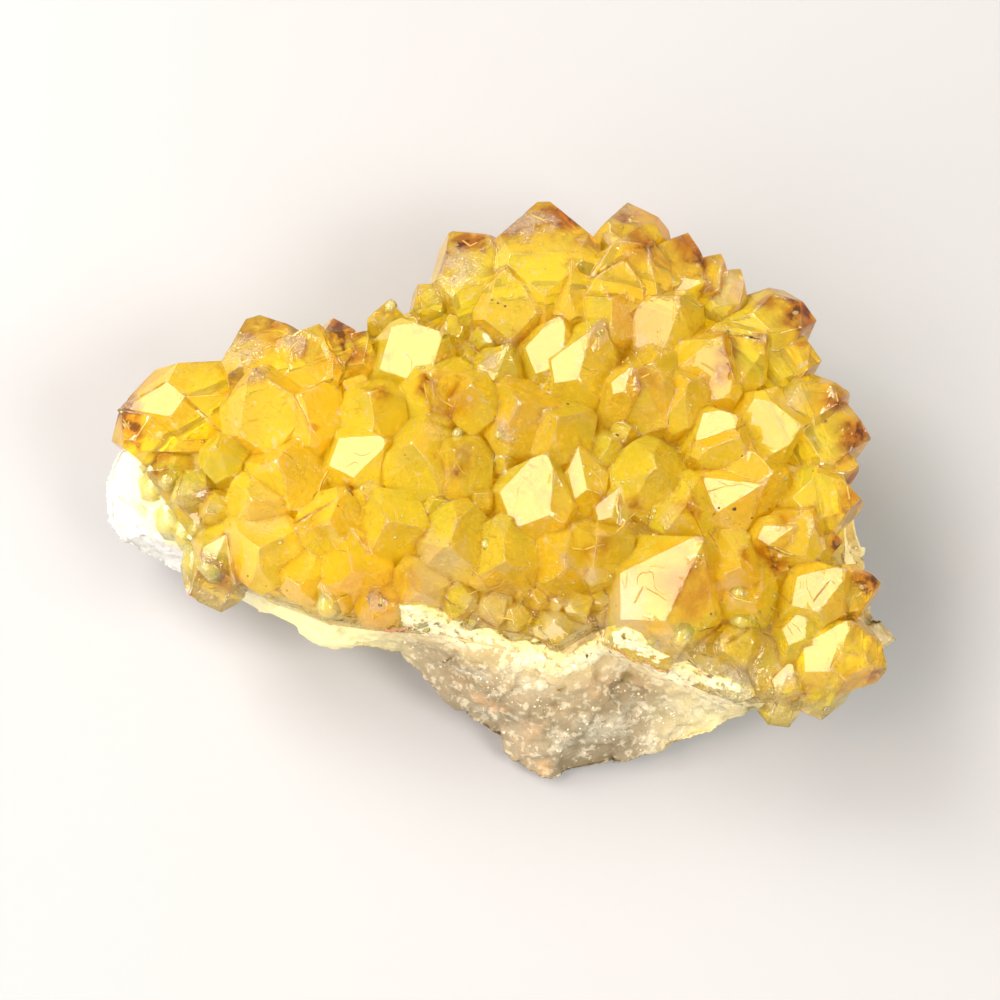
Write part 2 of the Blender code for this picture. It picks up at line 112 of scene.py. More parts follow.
def landed(marks, *names):
    """Where the line of sight through each mark, (across, down, ...), first meets one of the named
    stones: the points, the faces' normals, and the mark's other numbers. A mark that misses them
    is left out."""
    found = []
    for across, down, *rest in marks:
        side = (across / FRAME_STEPS - 0.5) * SENSOR / LENS
        rise = (0.5 - down / FRAME_STEPS) * SENSOR / LENS
        sight = (Vector((side, 0.0, 0.0)) + frame_up * rise - to_eye).normalized()
        hits = [stone_trees[name].ray_cast(camera.location, sight) for name in names]
        hits = [hit for hit in hits if hit[0] is not None]
        if hits:
            point, normal, _, _ = min(hits, key=lambda hit: hit[3])
            found.append((*point, *normal, *rest))
    table = np.array(found)
    return table[:, 0:3], table[:, 3:6], table[:, 6:]


# ---- Citrine crystals ---------------------------------------------------------------------------
# A druse of citrine: quartz points grown shoulder to shoulder into one honey-coloured crust. Their
# faces are smooth natural growth faces. Knocks have frosted some tips, iron has browned others,
# and the roots and the broken edge of the crust are pale and cloudy.
CRYSTAL_STEP = 0.9 * MM  # longest edge left on the faces that show
FROST_STEP = 0.34 * MM  # on the frosted tips
RIM_STEP = 0.46 * MM  # on the broken edge of the crust
HIDDEN_STEP = 2.5 * MM  # and on the underside, against the matrix
RIDGE_ROUND = 0.07 * MM  # width of the worn band beside each ridge
FLAT_WITHIN = math.radians(0.3)  # triangles that lie this nearly in one plane are one face
VALLEY_FROM = math.radians(4)  # a deeper valley than this parts two crystals
BROAD_AREA = 0.6 * MM * MM  # faces at least this big, and this wide, get worn bands
BROAD_WIDTH = 0.22 * MM
UNDERSIDE = -0.3  # a face whose normal dips more than this is on the underside
RIDGE_FOLD = 14  # degrees: sharper ridges catch the light
VALLEY_FOLD = 9  # degrees: deeper valleys hold stain
EDGE_REACH = 0.5 * MM  # how far wear and stain spread from ridges and valleys
WALK_REACH = 3 * MM  # distances from them are followed this far
OUTLINE_SECTOR = 7.5  # degrees: the outermost points are found sector by sector
QUARTZ_INDEX = 1.544
# The top of the matrix under the crust, and how far it has fallen at its reach from the middle.
BED_TOP = 17.0 * MM
BED_FALL_X = 3.6 * MM
BED_FALL_Y = 3.4 * MM
BED_REACH_X = 42.0 * MM
BED_REACH_Y = 28.0 * MM
BED_MIDDLE_Y = 4.0 * MM

# Marks on the crust: across and down the frame, radius in millimetres, strength.
AMBER_MARKS = (
    (122, 408, 1.5, 1), (132, 432, 1.2, 0.9), (128, 385, 1.4, 0.7), (262, 332, 2.4, 0.5),
    (236, 385, 1.4, 0.8), (252, 374, 1.2, 0.7), (295, 347, 1.2, 0.9), (337, 326, 1.5, 1),
    (350, 340, 1.6, 1), (361, 358, 1.3, 0.9), (380, 388, 1.2, 0.7), (160, 465, 1.2, 0.5),
    (210, 570, 1.4, 0.9), (232, 588, 1.6, 0.8), (378, 600, 1.0, 0.9), (426, 385, 1.3, 0.9),
    (445, 405, 1.6, 0.6), (468, 462, 1.8, 0.4), (520, 340, 1.2, 0.5), (690, 590, 2.8, 0.6),
    (625, 360, 1.4, 0.75), (645, 378, 1.2, 0.6), (728, 345, 1.4, 0.9), (725, 372, 1.2, 0.7),
    (765, 338, 1.3, 0.9), (470, 243, 1.5, 0.9), (448, 262, 1.2, 0.6), (515, 225, 2.0, 0.7),
    (560, 218, 2.4, 0.7), (585, 240, 1.4, 0.6), (627, 218, 1.3, 0.9), (640, 243, 2.0, 0.7),
    (690, 250, 1.6, 0.7), (704, 292, 0.9, 0.7), (800, 314, 1.8, 1), (788, 320, 1.2, 0.8),
    (775, 300, 1.4, 0.6), (840, 400, 1.2, 0.6), (850, 435, 1.6, 0.6), (862, 430, 1.0, 0.8),
    (848, 480, 1.0, 0.9), (850, 503, 1.0, 0.8), (766, 553, 1.0, 1), (785, 566, 1.0, 0.9),
    (836, 542, 1.0, 0.8), (868, 580, 1.2, 0.9), (872, 676, 1.2, 0.6), (866, 690, 1.0, 0.7),
    (790, 705, 0.9, 0.7), (588, 552, 1.0, 0.6), (636, 505, 1.0, 0.6), (205, 491, 0.8, 0.9),
    (500, 585, 1.1, 0.6), (605, 545, 0.8, 0.6), (458, 470, 0.9, 0.6), (312, 520, 1.4, 0.35),
    (350, 490, 0.7, 0.9), (315, 428, 0.4, 1), (545, 500, 1.0, 0.3), (690, 505, 1.4, 0.4),
    (600, 500, 1.2, 0.35), (650, 420, 1.8, 0.3), (785, 520, 1.0, 0.5), (745, 555, 0.9, 0.6),
    (405, 575, 1.2, 0.4),
)
HONEY_MARKS = (
    (370, 610, 4.6, 0.9), (225, 578, 2.6, 1), (690, 580, 3.6, 0.7), (600, 540, 4.0, 0.5),
    (640, 320, 2.8, 0.5), (300, 395, 3.0, 0.3), (520, 590, 3.6, 0.5), (460, 400, 2.0, 0.7),
    (740, 590, 3.0, 0.5), (330, 360, 2.2, 0.9), (145, 410, 4.0, 0.8), (170, 440, 2.4, 0.6),
    (205, 585, 3.4, 1), (232, 598, 2.6, 1), (750, 700, 4.0, 0.8), (870, 690, 3.0, 0.7),
    (245, 345, 3.0, 0.5), (535, 225, 3.4, 0.5),
)
PALE_MARKS = (
    (185, 500, 1.9, 0.5), (204, 514, 1.2, 0.5), (262, 520, 2.1, 0.4), (440, 562, 2.5, 0.7),
    (590, 576, 1.0, 0.8), (287, 606, 1.4, 0.7), (325, 600, 1.2, 0.7), (735, 288, 1.6, 0.7),
    (790, 400, 1.4, 0.6), (720, 300, 1.4, 0.4), (735, 585, 0.9, 0.7), (690, 650, 1.2, 0.5),
    (735, 685, 2.3, 0.9), (787, 682, 1.0, 0.7), (480, 590, 1.0, 0.3), (640, 345, 1.0, 0.5),
    (225, 545, 1.4, 0.4), (505, 600, 1.9, 0.3), (555, 618, 2.0, 0.6), (620, 605, 2.4, 0.7),
    (480, 610, 2.0, 0.5), (430, 600, 1.6, 0.6), (670, 640, 1.6, 0.7), (610, 200, 1.0, 0.3),
    (720, 520, 0.8, 0.4), (424, 616, 1.8, 1), (448, 624, 1.8, 1), (475, 632, 1.8, 1), (500, 641, 1.8, 1),
    (526, 650, 1.6, 1), (550, 654, 1.4, 0.9), (575, 640, 1.6, 0.8), (600, 630, 1.8, 0.8),
    (628, 626, 1.8, 0.8), (652, 646, 1.4, 0.8), (682, 658, 1.4, 0.8), (706, 668, 1.4, 0.7),
    (148, 492, 1.4, 0.5), (163, 512, 1.5, 0.5), (180, 536, 1.5, 0.5), (192, 556, 1.2, 0.4),
    (262, 598, 1.2, 0.6), (345, 626, 1.2, 0.5),
)
FROSTED_MARKS = (
    (455, 268, 2.0, 1), (238, 348, 1.7, 0.8), (292, 343, 1.0, 0.8), (520, 222, 1.9, 1),
    (735, 685, 2.1, 0.8), (376, 600, 1.0, 1), (210, 568, 1.2, 0.5), (600, 330, 1.0, 1), (502, 430, 1.1, 1),
    (122, 406, 0.8, 0.9), (718, 642, 1.0, 0.7), (490, 360, 0.9, 0.8), (775, 695, 0.8, 0.7),
    (254, 368, 1.3, 1), (545, 222, 1.2, 0.8), (505, 345, 0.9, 1), (672, 522, 1.2, 0.6),
    (566, 560, 0.8, 0.5), (700, 640, 0.9, 0.6), (655, 648, 1.0, 0.6), (430, 622, 1.6, 0.8),
    (465, 634, 1.8, 0.8), (500, 645, 1.8, 0.8), (535, 655, 1.6, 0.8), (745, 700, 1.4, 0.8),
    (440, 290, 1.2, 0.7), (630, 210, 1.2, 0.6), (860, 700, 1.2, 0.7),
)


def bed_height(points):
    """The height of the matrix under each point: the top of the bed, less a fall that grows as the
    square of the distance from its middle."""
    x, y = points[:, 0], points[:, 1]
    fall = BED_FALL_X * (x / BED_REACH_X) ** 2 + BED_FALL_Y * ((y - BED_MIDDLE_Y) / BED_REACH_Y) ** 2
    return BED_TOP - fall


def smooth_step(low, high, values):
    """0 below low, 1 above high, and the S-shaped cubic 3t² − 2t³ between them."""
    t = np.clip((values - low) / (high - low), 0, 1)
    return t * t * (3 - 2 * t)


def cell_values(cells, salt):
    """A repeatable number from 0 to 1 for each whole-number cell, got by mixing its three numbers
    with large primes. A salt tells one pattern from the next."""
    c = cells.astype(np.int64)
    h = (c[:, 0] * 73856093) ^ (c[:, 1] * 19349663) ^ (c[:, 2] * 83492791) ^ (salt * 265443)
    h = ((h ^ (h >> 15)) * 2246822519) & 0xFFFFFFFF
    h = ((h ^ (h >> 13)) * 3266489917) & 0xFFFFFFFF
    return ((h ^ (h >> 16)) & 0xFFFFFF) / float(0xFFFFFF)


def soft_noise(points, size, salt):
    """Smooth noise from −1 to 1: a random value at each corner of the cells of that size, blended
    by the S-shaped cubic of the place in the cell."""
    p = points / size
    base = np.floor(p)
    f = p - base
    f = f * f * (3 - 2 * f)
    total = np.zeros(len(points))
    for corner in np.ndindex(2, 2, 2):
        c = np.array(corner)
        weight = np.prod(np.where(c == 1, f, 1 - f), axis=1)
        total += weight * cell_values(base + c, salt)
    return total * 2 - 1


def layered_noise(points, size, salt, layers=3):
    """Smooth noise at that size plus the same at half the size and half the height, and so on."""
    return sum(soft_noise(points, size / 2**k, salt + k) / 2**k for k in range(layers))


def chips(points, size, salt, slope):
    """A broken surface: each point takes the level, and the slope, of the nearest of one random
    seed to a cell, which leaves flat chips that meet at steps. From −1 to 1 or so."""
    p = points / size
    base = np.floor(p)
    nearest = np.full(len(points), 9.0)
    height = np.zeros(len(points))
    for step in np.ndindex(3, 3, 3):
        cell = base + np.array(step) - 1
        place = np.stack([cell_values(cell, salt + n) for n in (1, 2, 3)], axis=1)
        away = p - cell - place
        d = np.sum(away * away, axis=1)
        tilt = np.stack([cell_values(cell, salt + n) for n in (4, 5, 6)], axis=1) * 2 - 1
        level = (cell_values(cell, salt + 7) * 2 - 1) + slope * np.sum(away * tilt, axis=1)
        closer = d < nearest
        nearest = np.where(closer, d, nearest)
        height = np.where(closer, level, height)
    return height


def as_arrays(bm, layer=None):
    """The shell's points, its triangles, and the whole number that each triangle carries."""
    bmesh.ops.triangulate(bm, faces=bm.faces)
    bm.verts.index_update()
    mesh = bpy.data.meshes.new("arrays")
    bm.to_mesh(mesh)
    points = np.empty(len(mesh.vertices) * 3)
    mesh.vertices.foreach_get("co", points)
    faces = np.empty(len(mesh.loops), dtype=np.int32)
    mesh.loops.foreach_get("vertex_index", faces)
    tags = np.zeros(len(mesh.polygons), dtype=np.int32)
    if layer:
        mesh.attributes[layer].data.foreach_get("value", tags)
    bpy.data.meshes.remove(mesh)
    return points.reshape(-1, 3), faces.reshape(-1, 3).astype(np.int64), tags


def edge_list(faces, count):
    """Each edge of the triangles once, as its two ends, and for each corner of each triangle the
    number of the edge that leaves it."""
    ends = np.sort(np.concatenate([faces[:, (0, 1)], faces[:, (1, 2)], faces[:, (2, 0)]]), axis=1)
    keys, back = np.unique(ends[:, 0] * count + ends[:, 1], return_inverse=True)
    return np.stack([keys // count, keys % count], axis=1), back.reshape(3, -1).T


def refined(points, faces, tags, allowed, passes=10):
    """Puts a point in the middle of every edge longer than allowed there, and recuts each triangle
    round its new points, as whole arrays, until no edge is too long."""
    for _ in range(passes):
        edges, of_face = edge_list(faces, len(points))
        a, b = points[edges[:, 0]], points[edges[:, 1]]
        middle = (a + b) / 2
        split = np.linalg.norm(a - b, axis=1) > allowed(middle)
        if not split.any():
            break
        number = np.full(len(edges), -1)
        number[split] = len(points) + np.arange(split.sum())
        points = np.concatenate([points, middle[split]])
        cut = number[of_face]
        many = (cut >= 0).sum(axis=1)
        # each triangle is turned so that its cut edges come first
        after_whole = (np.argmin(cut >= 0, axis=1) + 1) % 3
        first = np.where(many == 1, np.argmax(cut >= 0, axis=1), np.where(many == 2, after_whole, 0))
        turn = (np.arange(3)[None, :] + first[:, None]) % 3
        v, c = np.take_along_axis(faces, turn, 1), np.take_along_axis(cut, turn, 1)
        none, one, two, three = many == 0, many == 1, many == 2, many == 3
        parts = [(v[none], tags[none])]
        p, q, r, m = v[one, 0], v[one, 1], v[one, 2], c[one, 0]
        parts += [(np.stack(t, axis=1), tags[one]) for t in ((p, m, r), (m, q, r))]
        p, q, r, m, n = v[two, 0], v[two, 1], v[two, 2], c[two, 0], c[two, 1]
        parts += [(np.stack([m, q, n], axis=1), tags[two])]
        pn, mr = np.linalg.norm(points[p] - points[n], axis=1), np.linalg.norm(points[m] - points[r], axis=1)
        across = (pn < mr)[:, None]
        parts += [(np.where(across, np.stack([p, m, n], 1), np.stack([p, m, r], 1)), tags[two])]
        parts += [(np.where(across, np.stack([p, n, r], 1), np.stack([m, n, r], 1)), tags[two])]
        (p, q, r), (m, n, o) = v[three].T, c[three].T
        corners = ((p, m, o), (m, q, n), (o, n, r), (m, n, o))
        parts += [(np.stack(t, axis=1), tags[three]) for t in corners]
        faces = np.concatenate([t for t, _ in parts])
        tags = np.concatenate([t for _, t in parts])
    return points, faces, tags


def face_normals(points, faces):
    """Each triangle's outward normal, as long as twice its area: the cross product of two sides."""
    return np.cross(points[faces[:, 1]] - points[faces[:, 0]], points[faces[:, 2]] - points[faces[:, 0]])


def unit(vectors):
    """Each vector made one long."""
    return vectors / np.maximum(np.linalg.norm(vectors, axis=1, keepdims=True), 1e-20)


def point_normals(points, faces):
    """Each point's outward normal: the mean of its triangles' normals, each counted by its area."""
    n = face_normals(points, faces)
    total = np.zeros_like(points)
    for k in range(3):
        np.add.at(total, faces[:, k], n)
    return unit(total)


def folds(points, faces):
    """Each edge's two ends, the angle between its two faces in degrees, and whether it is a ridge
    rather than a valley."""
    edges, of_face = edge_list(faces, len(points))
    n = unit(face_normals(points, faces))
    order = np.argsort(of_face.ravel(), kind="stable")
    face_of = (order // 3).reshape(-1, 2)  # a closed shell has two triangles on every edge
    one, two = face_of[:, 0], face_of[:, 1]
    angle = np.degrees(np.arccos(np.clip(np.sum(n[one] * n[two], axis=1), -1, 1)))
    middle = points[faces].mean(axis=1)
    ridge = np.sum(n[one] * (middle[two] - middle[one]), axis=1) < 0
    return edges, angle, ridge


def distance_along(points, edges, start, reach):
    """How far each point is from the nearest start point, walking along edges: shorter ways are
    passed from end to end until none changes."""
    away = np.where(start, 0.0, reach)
    length = np.linalg.norm(points[edges[:, 0]] - points[edges[:, 1]], axis=1)
    for _ in range(40):
        before = away.copy()
        np.minimum.at(away, edges[:, 0], before[edges[:, 1]] + length)
        np.minimum.at(away, edges[:, 1], before[edges[:, 0]] + length)
        if np.allclose(before, away):
            break
    return away


def near_marks(points, marks, name):
    """The strongest of the marks that reach each point: full to half its radius, and faded to
    nothing at 1.6 times its radius, on a wandering outline."""
    result = np.zeros(len(points))
    wobble = 1 + 0.35 * layered_noise(points, 0.9 * MM, 91, 2)
    middles, _, rest = landed(marks, name)
    for middle, (radius, strength) in zip(middles, rest):
        d = np.linalg.norm(points - middle, axis=1) / (radius * MM) * wobble
        result = np.maximum(result, strength * (1 - smooth_step(0.5, 1.6, d)))
    return result


def surface(name, points, faces):
    """A mesh object at the origin from whole arrays of points and faces."""
    mesh = bpy.data.meshes.new(name)
    mesh.vertices.add(len(points))
    mesh.vertices.foreach_set("co", np.ascontiguousarray(points, dtype=np.float32).ravel())
    mesh.loops.add(faces.size)
    mesh.loops.foreach_set("vertex_index", np.ascontiguousarray(faces, dtype=np.int32).ravel())
    mesh.polygons.add(len(faces))
    mesh.polygons.foreach_set("loop_start", np.arange(0, faces.size, faces.shape[1], dtype=np.int32))
    mesh.polygons.foreach_set("loop_total", np.full(len(faces), faces.shape[1], dtype=np.int32))
    mesh.update(calc_edges=True)
    mesh.validate()
    piece = bpy.data.objects.new(name, mesh)
    bpy.context.scene.collection.objects.link(piece)
    return piece


def paint(piece, name, *values):
    """Stores up to three numbers for each point as a colour attribute that the material reads."""
    colours = np.ones((len(values[0]), 4), dtype=np.float32)
    for k, v in enumerate(values):
        colours[:, k] = v
    layer = piece.data.color_attributes.new(name, "FLOAT_COLOR", "POINT")
    layer.data.foreach_set("color", colours.ravel())


def smoothed(piece):
    """Shades the whole piece smooth."""
    piece.data.polygons.foreach_set("use_smooth", np.ones(len(piece.data.polygons), dtype=bool))


# Flat faces are found first, then gathered into crystals: a crystal ends where a valley begins.
# Each face then carries its crystal's number and its own in one whole number.
bm = merged_copy(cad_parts["citrine_crystals"])
bmesh.ops.dissolve_limit(bm, angle_limit=FLAT_WITHIN, verts=bm.verts, edges=bm.edges)
crystal_layer = bm.faces.layers.int.new("crystal")
crystal_count = 0
for start in bm.faces:
    if start[crystal_layer]:
        continue
    crystal_count += 1
    start[crystal_layer] = crystal_count
    waiting = [start]
    while waiting:
        face = waiting.pop()
        for edge in face.edges:
            if not edge.is_manifold or edge.calc_face_angle_signed(0.0) < -VALLEY_FROM:
                continue
            for other in edge.link_faces:
                if not other[crystal_layer]:
                    other[crystal_layer] = crystal_count
                    waiting.append(other)
face_count = len(bm.faces)
for number, face in enumerate(bm.faces):
    face[crystal_layer] = face[crystal_layer] * face_count + number


def is_broad(face):
    """Whether a face is big and wide enough for a worn band all round, and not underneath."""
    width = 2 * face.calc_area() / face.calc_perimeter()
    return face.calc_area() > BROAD_AREA and width > BROAD_WIDTH and face.normal.z > UNDERSIDE


broad = [face for face in bm.faces if is_broad(face)]
bmesh.ops.inset_individual(bm, faces=broad, thickness=RIDGE_ROUND, depth=0.0, use_even_offset=True)
crystal_points, crystal_faces, crystal_of = as_arrays(bm, "crystal")
bm.free()


def rim_share(points):
    """How much each point is part of the crust's broken front edge: 1 in a band that starts just
    over the bed, 0 above it and away from the front."""
    lift = points[:, 2] - bed_height(points)
    band = smooth_step(0.15 * MM, 0.5 * MM, lift) * smooth_step(2.8 * MM, 1.5 * MM, lift)
    return band * smooth_step(2 * MM, -3 * MM, points[:, 1])


def crystal_step(middle):
    """The longest edge allowed at each place: short on frosted tips, long underneath."""
    under = middle[:, 2] < bed_height(middle) + 0.2 * MM
    frosted = near_marks(middle, FROSTED_MARKS, "citrine_crystals") > 0.25
    step = np.where(rim_share(middle) > 0.3, RIM_STEP, CRYSTAL_STEP)
    return np.where(under, HIDDEN_STEP, np.where(frosted, FROST_STEP, step))


crystal_points, crystal_faces, crystal_of = refined(crystal_points, crystal_faces, crystal_of, crystal_step)
edges, fold, is_ridge = folds(crystal_points, crystal_faces)
crystal_of, flat_of = crystal_of // face_count, crystal_of % face_count
on_ridge = np.zeros(len(crystal_points), dtype=bool)
on_ridge[edges[(fold > RIDGE_FOLD) & is_ridge].ravel()] = True
in_valley = np.zeros(len(crystal_points), dtype=bool)
in_valley[edges[(fold > VALLEY_FOLD) & ~is_ridge].ravel()] = True
ridge_away = distance_along(crystal_points, edges, on_ridge, WALK_REACH)
valley_away = distance_along(crystal_points, edges, in_valley, WALK_REACH)
rise = crystal_points[:, 2] - bed_height(crystal_points)
by_ridge = smooth_step(EDGE_REACH, 0.0, ridge_away)
by_valley = smooth_step(EDGE_REACH, 0.0, valley_away)
ridge_line = smooth_step(0.8 * RIDGE_ROUND, 0.0, ridge_away)
valley_line = smooth_step(0.8 * RIDGE_ROUND, 0.0, valley_away)

# frost: knocked tips, worn ridges high up, and the broken front edge
wander = layered_noise(crystal_points, 3.0 * MM, 11)
knocked = near_marks(crystal_points, FROSTED_MARKS, "citrine_crystals")
frost = knocked * smooth_step(-0.5, 0.4, layered_noise(crystal_points, 1.1 * MM, 23) + 0.4)
worn = smooth_step(5 * MM, 8 * MM, rise) * smooth_step(0.1, 0.7, layered_noise(crystal_points, 1.6 * MM, 37))
rim = rim_share(crystal_points)
frost = np.clip(frost + 0.5 * by_ridge * worn + 0.35 * rim, 0, 1)
# amber: iron stain in its marks and in the valleys, but not down by the matrix
amber = near_marks(crystal_points, AMBER_MARKS, "citrine_crystals")
amber = amber * smooth_step(-0.9, 0.3, layered_noise(crystal_points, 1.3 * MM, 51) + 0.3)
amber = np.clip(amber * (1 + 0.5 * by_ridge) + 0.4 * by_valley * smooth_step(-0.2, 0.6, wander), 0, 1)
amber = amber * smooth_step(1.2 * MM, 2.6 * MM, rise)
# honey: a deeper yellow in its marks, round the outside and near the matrix
honey = near_marks(crystal_points, HONEY_MARKS, "citrine_crystals")
bearing = np.degrees(np.arctan2(crystal_points[:, 1] - BED_MIDDLE_Y, crystal_points[:, 0])) % 360
sector = (bearing / OUTLINE_SECTOR).astype(int)
from_middle = np.hypot(crystal_points[:, 0], crystal_points[:, 1] - BED_MIDDLE_Y)
outline = np.zeros(int(360 / OUTLINE_SECTOR))
np.maximum.at(outline, sector, from_middle)
outer = smooth_step(0.80, 0.97, from_middle / outline[sector]) * smooth_step(1.5 * MM, 4 * MM, rise)
honey = np.maximum(honey, outer * (0.6 + 0.3 * wander))
honey = np.maximum(honey, 0.55 * smooth_step(4.5 * MM, 1.5 * MM, rise + 0.8 * MM * wander))
# the outermost ridges take amber, partly iron stain and partly painted shade along the outline, and
# the stone is cloudy in its marks and at its roots
tips = outer * by_ridge * smooth_step(0.0, 0.5, layered_noise(crystal_points, 2.2 * MM, 57))
amber = np.clip(np.maximum(amber * (1 + 0.8 * outer), 0.6 * tips), 0, 1)
pale = near_marks(crystal_points, PALE_MARKS, "citrine_crystals")
pale = np.maximum(pale, 0.3 * smooth_step(3.0 * MM, 1.0 * MM, rise + 0.9 * MM * wander))

# Frosted tips are knocked back into small chips, the crust's front edge is broken into bigger
# ones, and ridges are worn down a hair.
outward = point_normals(crystal_points, crystal_faces)
broken = chips(crystal_points, 0.62 * MM, 61, 1.6) * 0.5
broken = broken + layered_noise(crystal_points, 0.5 * MM, 71, 2) * 0.3
inside = rise > 0.7 * MM
cut_back = np.where(inside, frost * np.clip(knocked * 3, 0, 1), 0) * (0.5 - broken) * 0.16 * MM
ledge = chips(crystal_points, 1.5 * MM, 81, 1.4) * 0.5 + chips(crystal_points, 0.8 * MM, 181, 1.4) * 0.25
cut_back += rim * smooth_step(0.15 * MM, 0.9 * MM, rise) * (0.75 - ledge) * 0.42 * MM
cut_back += np.where(inside & on_ridge, 0.012 * MM, 0)
crystal_points = crystal_points - outward * cut_back[:, None]
low, high = (np.array(corner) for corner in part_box("citrine_crystals"))
crystal_points = np.clip(crystal_points, low, high)

crystals = surface("citrine_druse", crystal_points, crystal_faces)
remember("citrine_druse", crystal_points, crystal_faces)
# each crystal has its own depth of colour, and each of its faces differs a little more
rng = np.random.default_rng(5)
crystal_tone = rng.random(crystal_count + 1)
face_tone = rng.random(face_count)
tone = np.zeros(len(crystal_points))
tone[crystal_faces.ravel()] = np.repeat(0.45 * crystal_tone[crystal_of] + 0.55 * face_tone[flat_of], 3)
paint(crystals, "marks", amber, pale, frost)
paint(crystals, "growth", tone, honey)
paint(crystals, "lines", ridge_line, valley_line)
smoothed(crystals)


def new_group(name, inputs, outputs):
    """An empty shader node group with those named sockets, each a (name, kind, value)."""
    group = bpy.data.node_groups.new(name, "ShaderNodeTree")
    for label, kind, value in inputs:
        socket = group.interface.new_socket(name=label, in_out="INPUT", socket_type=kind)
        if value is not None:
            socket.default_value = value
    for label, kind in outputs:
        group.interface.new_socket(name=label, in_out="OUTPUT", socket_type=kind)
    return group, group.nodes.new("NodeGroupInput"), group.nodes.new("NodeGroupOutput")


class Bench:
    """A workbench for one node tree: it adds shader nodes and joins them."""

    def __init__(self, tree):
        self.tree = tree

    def put(self, socket, value):
        """Joins another node's socket to this one, or sets this one's own value."""
        if isinstance(value, bpy.types.NodeSocket):
            self.tree.links.new(value, socket)
        else:
            socket.default_value = value

    def node(self, kind, inputs=None, **settings):
        """A node of that kind, with those inputs put and those settings set."""
        node = self.tree.nodes.new(kind)
        for key, value in settings.items():
            setattr(node, key, value)
        for key, value in (inputs or {}).items():
            self.put(node.inputs[key], value)
        return node

    def math(self, operation, a, b=0.0, clamp=False):
        """The number that the operation gives, held between 0 and 1 if clamped."""
        return self.node("ShaderNodeMath", {0: a, 1: b}, operation=operation, use_clamp=clamp).outputs[0]

    def vector(self, operation, a, b):
        """The vector, or for a dot product the number, that the operation gives."""
        node = self.node("ShaderNodeVectorMath", {0: a, 1: b}, operation=operation)
        return node.outputs[1 if operation == "DOT_PRODUCT" else 0]

    def span(self, value, low, high, to_low=0.0, to_high=1.0):
        """value from low to high, carried smoothly to the other two."""
        ends = {"Value": value, "From Min": low, "From Max": high, "To Min": to_low, "To Max": to_high}
        return self.node("ShaderNodeMapRange", ends, interpolation_type="SMOOTHSTEP").outputs[0]

    def mix(self, share, a, b):
        """The colour a where the share is 0, b where it is 1, and blended between."""
        node = self.tree.nodes.new("ShaderNodeMix")
        node.data_type = "RGBA"
        self.put(node.inputs[0], share)
        self.put(node.inputs[6], a)
        self.put(node.inputs[7], b)
        return node.outputs[2]

    def wash(self, base, share, strength, colour):
        """base with a colour laid over it, by its share times a strength."""
        return self.mix(self.math("MULTIPLY", share, strength), base, colour)

    def noise(self, place, scale, detail=2.0, rough=0.5, bend=0.0):
        """Cloudy noise from 0 to 1, with that many lumps to the metre."""
        grain = {"Vector": place, "Scale": scale, "Detail": detail, "Roughness": rough, "Distortion": bend}
        return self.node("ShaderNodeTexNoise", grain).outputs[0]

    def relief(self, shader, height, distance, strength=1.0):
        """Lets the height, times the distance, tilt the shader's surface."""
        bump = self.node("ShaderNodeBump", {"Height": height, "Strength": strength, "Distance": distance})
        self.put(shader.inputs["Normal"], bump.outputs[0])

    def parts(self, name):
        """The three numbers of a colour attribute."""
        at = self.node("ShaderNodeAttribute", attribute_name=name)
        return self.node("ShaderNodeSeparateColor", {0: at.outputs["Color"]}).outputs

    def group(self, tree, place, per_metre):
        """One of the stone's pattern groups, laid on that place at that many to the metre."""
        node = self.node("ShaderNodeGroup", node_tree=tree)
        self.put(node.inputs["Place"], place)
        node.inputs["Per Metre"].default_value = per_metre
        return node.outputs


# Clouds and feathers inside the stone: broad soft clouds, and thin bent films where a crack healed.
growth_clouds, inlet, outlet = new_group(
    "growth clouds",
    (("Place", "NodeSocketVector", None), ("Per Metre", "NodeSocketFloat", 200.0)),
    (("Cloud", "NodeSocketFloat"), ("Feather", "NodeSocketFloat"), ("Wisp", "NodeSocketFloat")),
)
b = Bench(growth_clouds)
place, per = inlet.outputs["Place"], inlet.outputs["Per Metre"]
soft = b.noise(place, per, 2.0, 0.6)
b.put(outlet.inputs["Cloud"], b.span(soft, 0.38, 0.66))
bent = b.noise(place, b.math("MULTIPLY", per, 1.7), 1.0, 0.6, 2.2)
film = b.math("ABSOLUTE", b.math("SUBTRACT", bent, 0.5))
b.put(outlet.inputs["Feather"], b.math("MULTIPLY", b.span(film, 0.022, 0.0), b.span(soft, 0.46, 0.56)))
wisp = b.math("ABSOLUTE", b.math("SUBTRACT", bent, 0.42))
b.put(outlet.inputs["Wisp"], b.math("MULTIPLY", b.span(wisp, 0.04, 0.0), b.span(soft, 0.54, 0.44)))

# Sugary broken grain: each grain is a small flat facet with its own tilt and its own tone.
broken_grain, inlet, outlet = new_group(
    "broken grain",
    (("Place", "NodeSocketVector", None), ("Per Metre", "NodeSocketFloat", 1200.0)),
    (("Height", "NodeSocketFloat"), ("Grain", "NodeSocketFloat"), ("Glint", "NodeSocketFloat")),
)
b = Bench(broken_grain)
place, per = inlet.outputs["Place"], inlet.outputs["Per Metre"]
cell = b.node("ShaderNodeTexVoronoi", {"Vector": place, "Scale": per, "Randomness": 1.0}, feature="F1")
tone = b.node("ShaderNodeSeparateColor", {0: cell.outputs["Color"]}).outputs
away = b.vector("SUBTRACT", place, cell.outputs["Position"])
tilt = b.vector("SUBTRACT", cell.outputs["Color"], (0.5, 0.5, 0.5))
slope = b.math("MULTIPLY", b.vector("DOT_PRODUCT", away, tilt), per)
b.put(outlet.inputs["Height"], b.math("ADD", slope, b.math("MULTIPLY", tone[0], 0.25)))
b.put(outlet.inputs["Grain"], tone[1])
b.put(outlet.inputs["Glint"], b.span(tone[2], 0.86, 0.9))


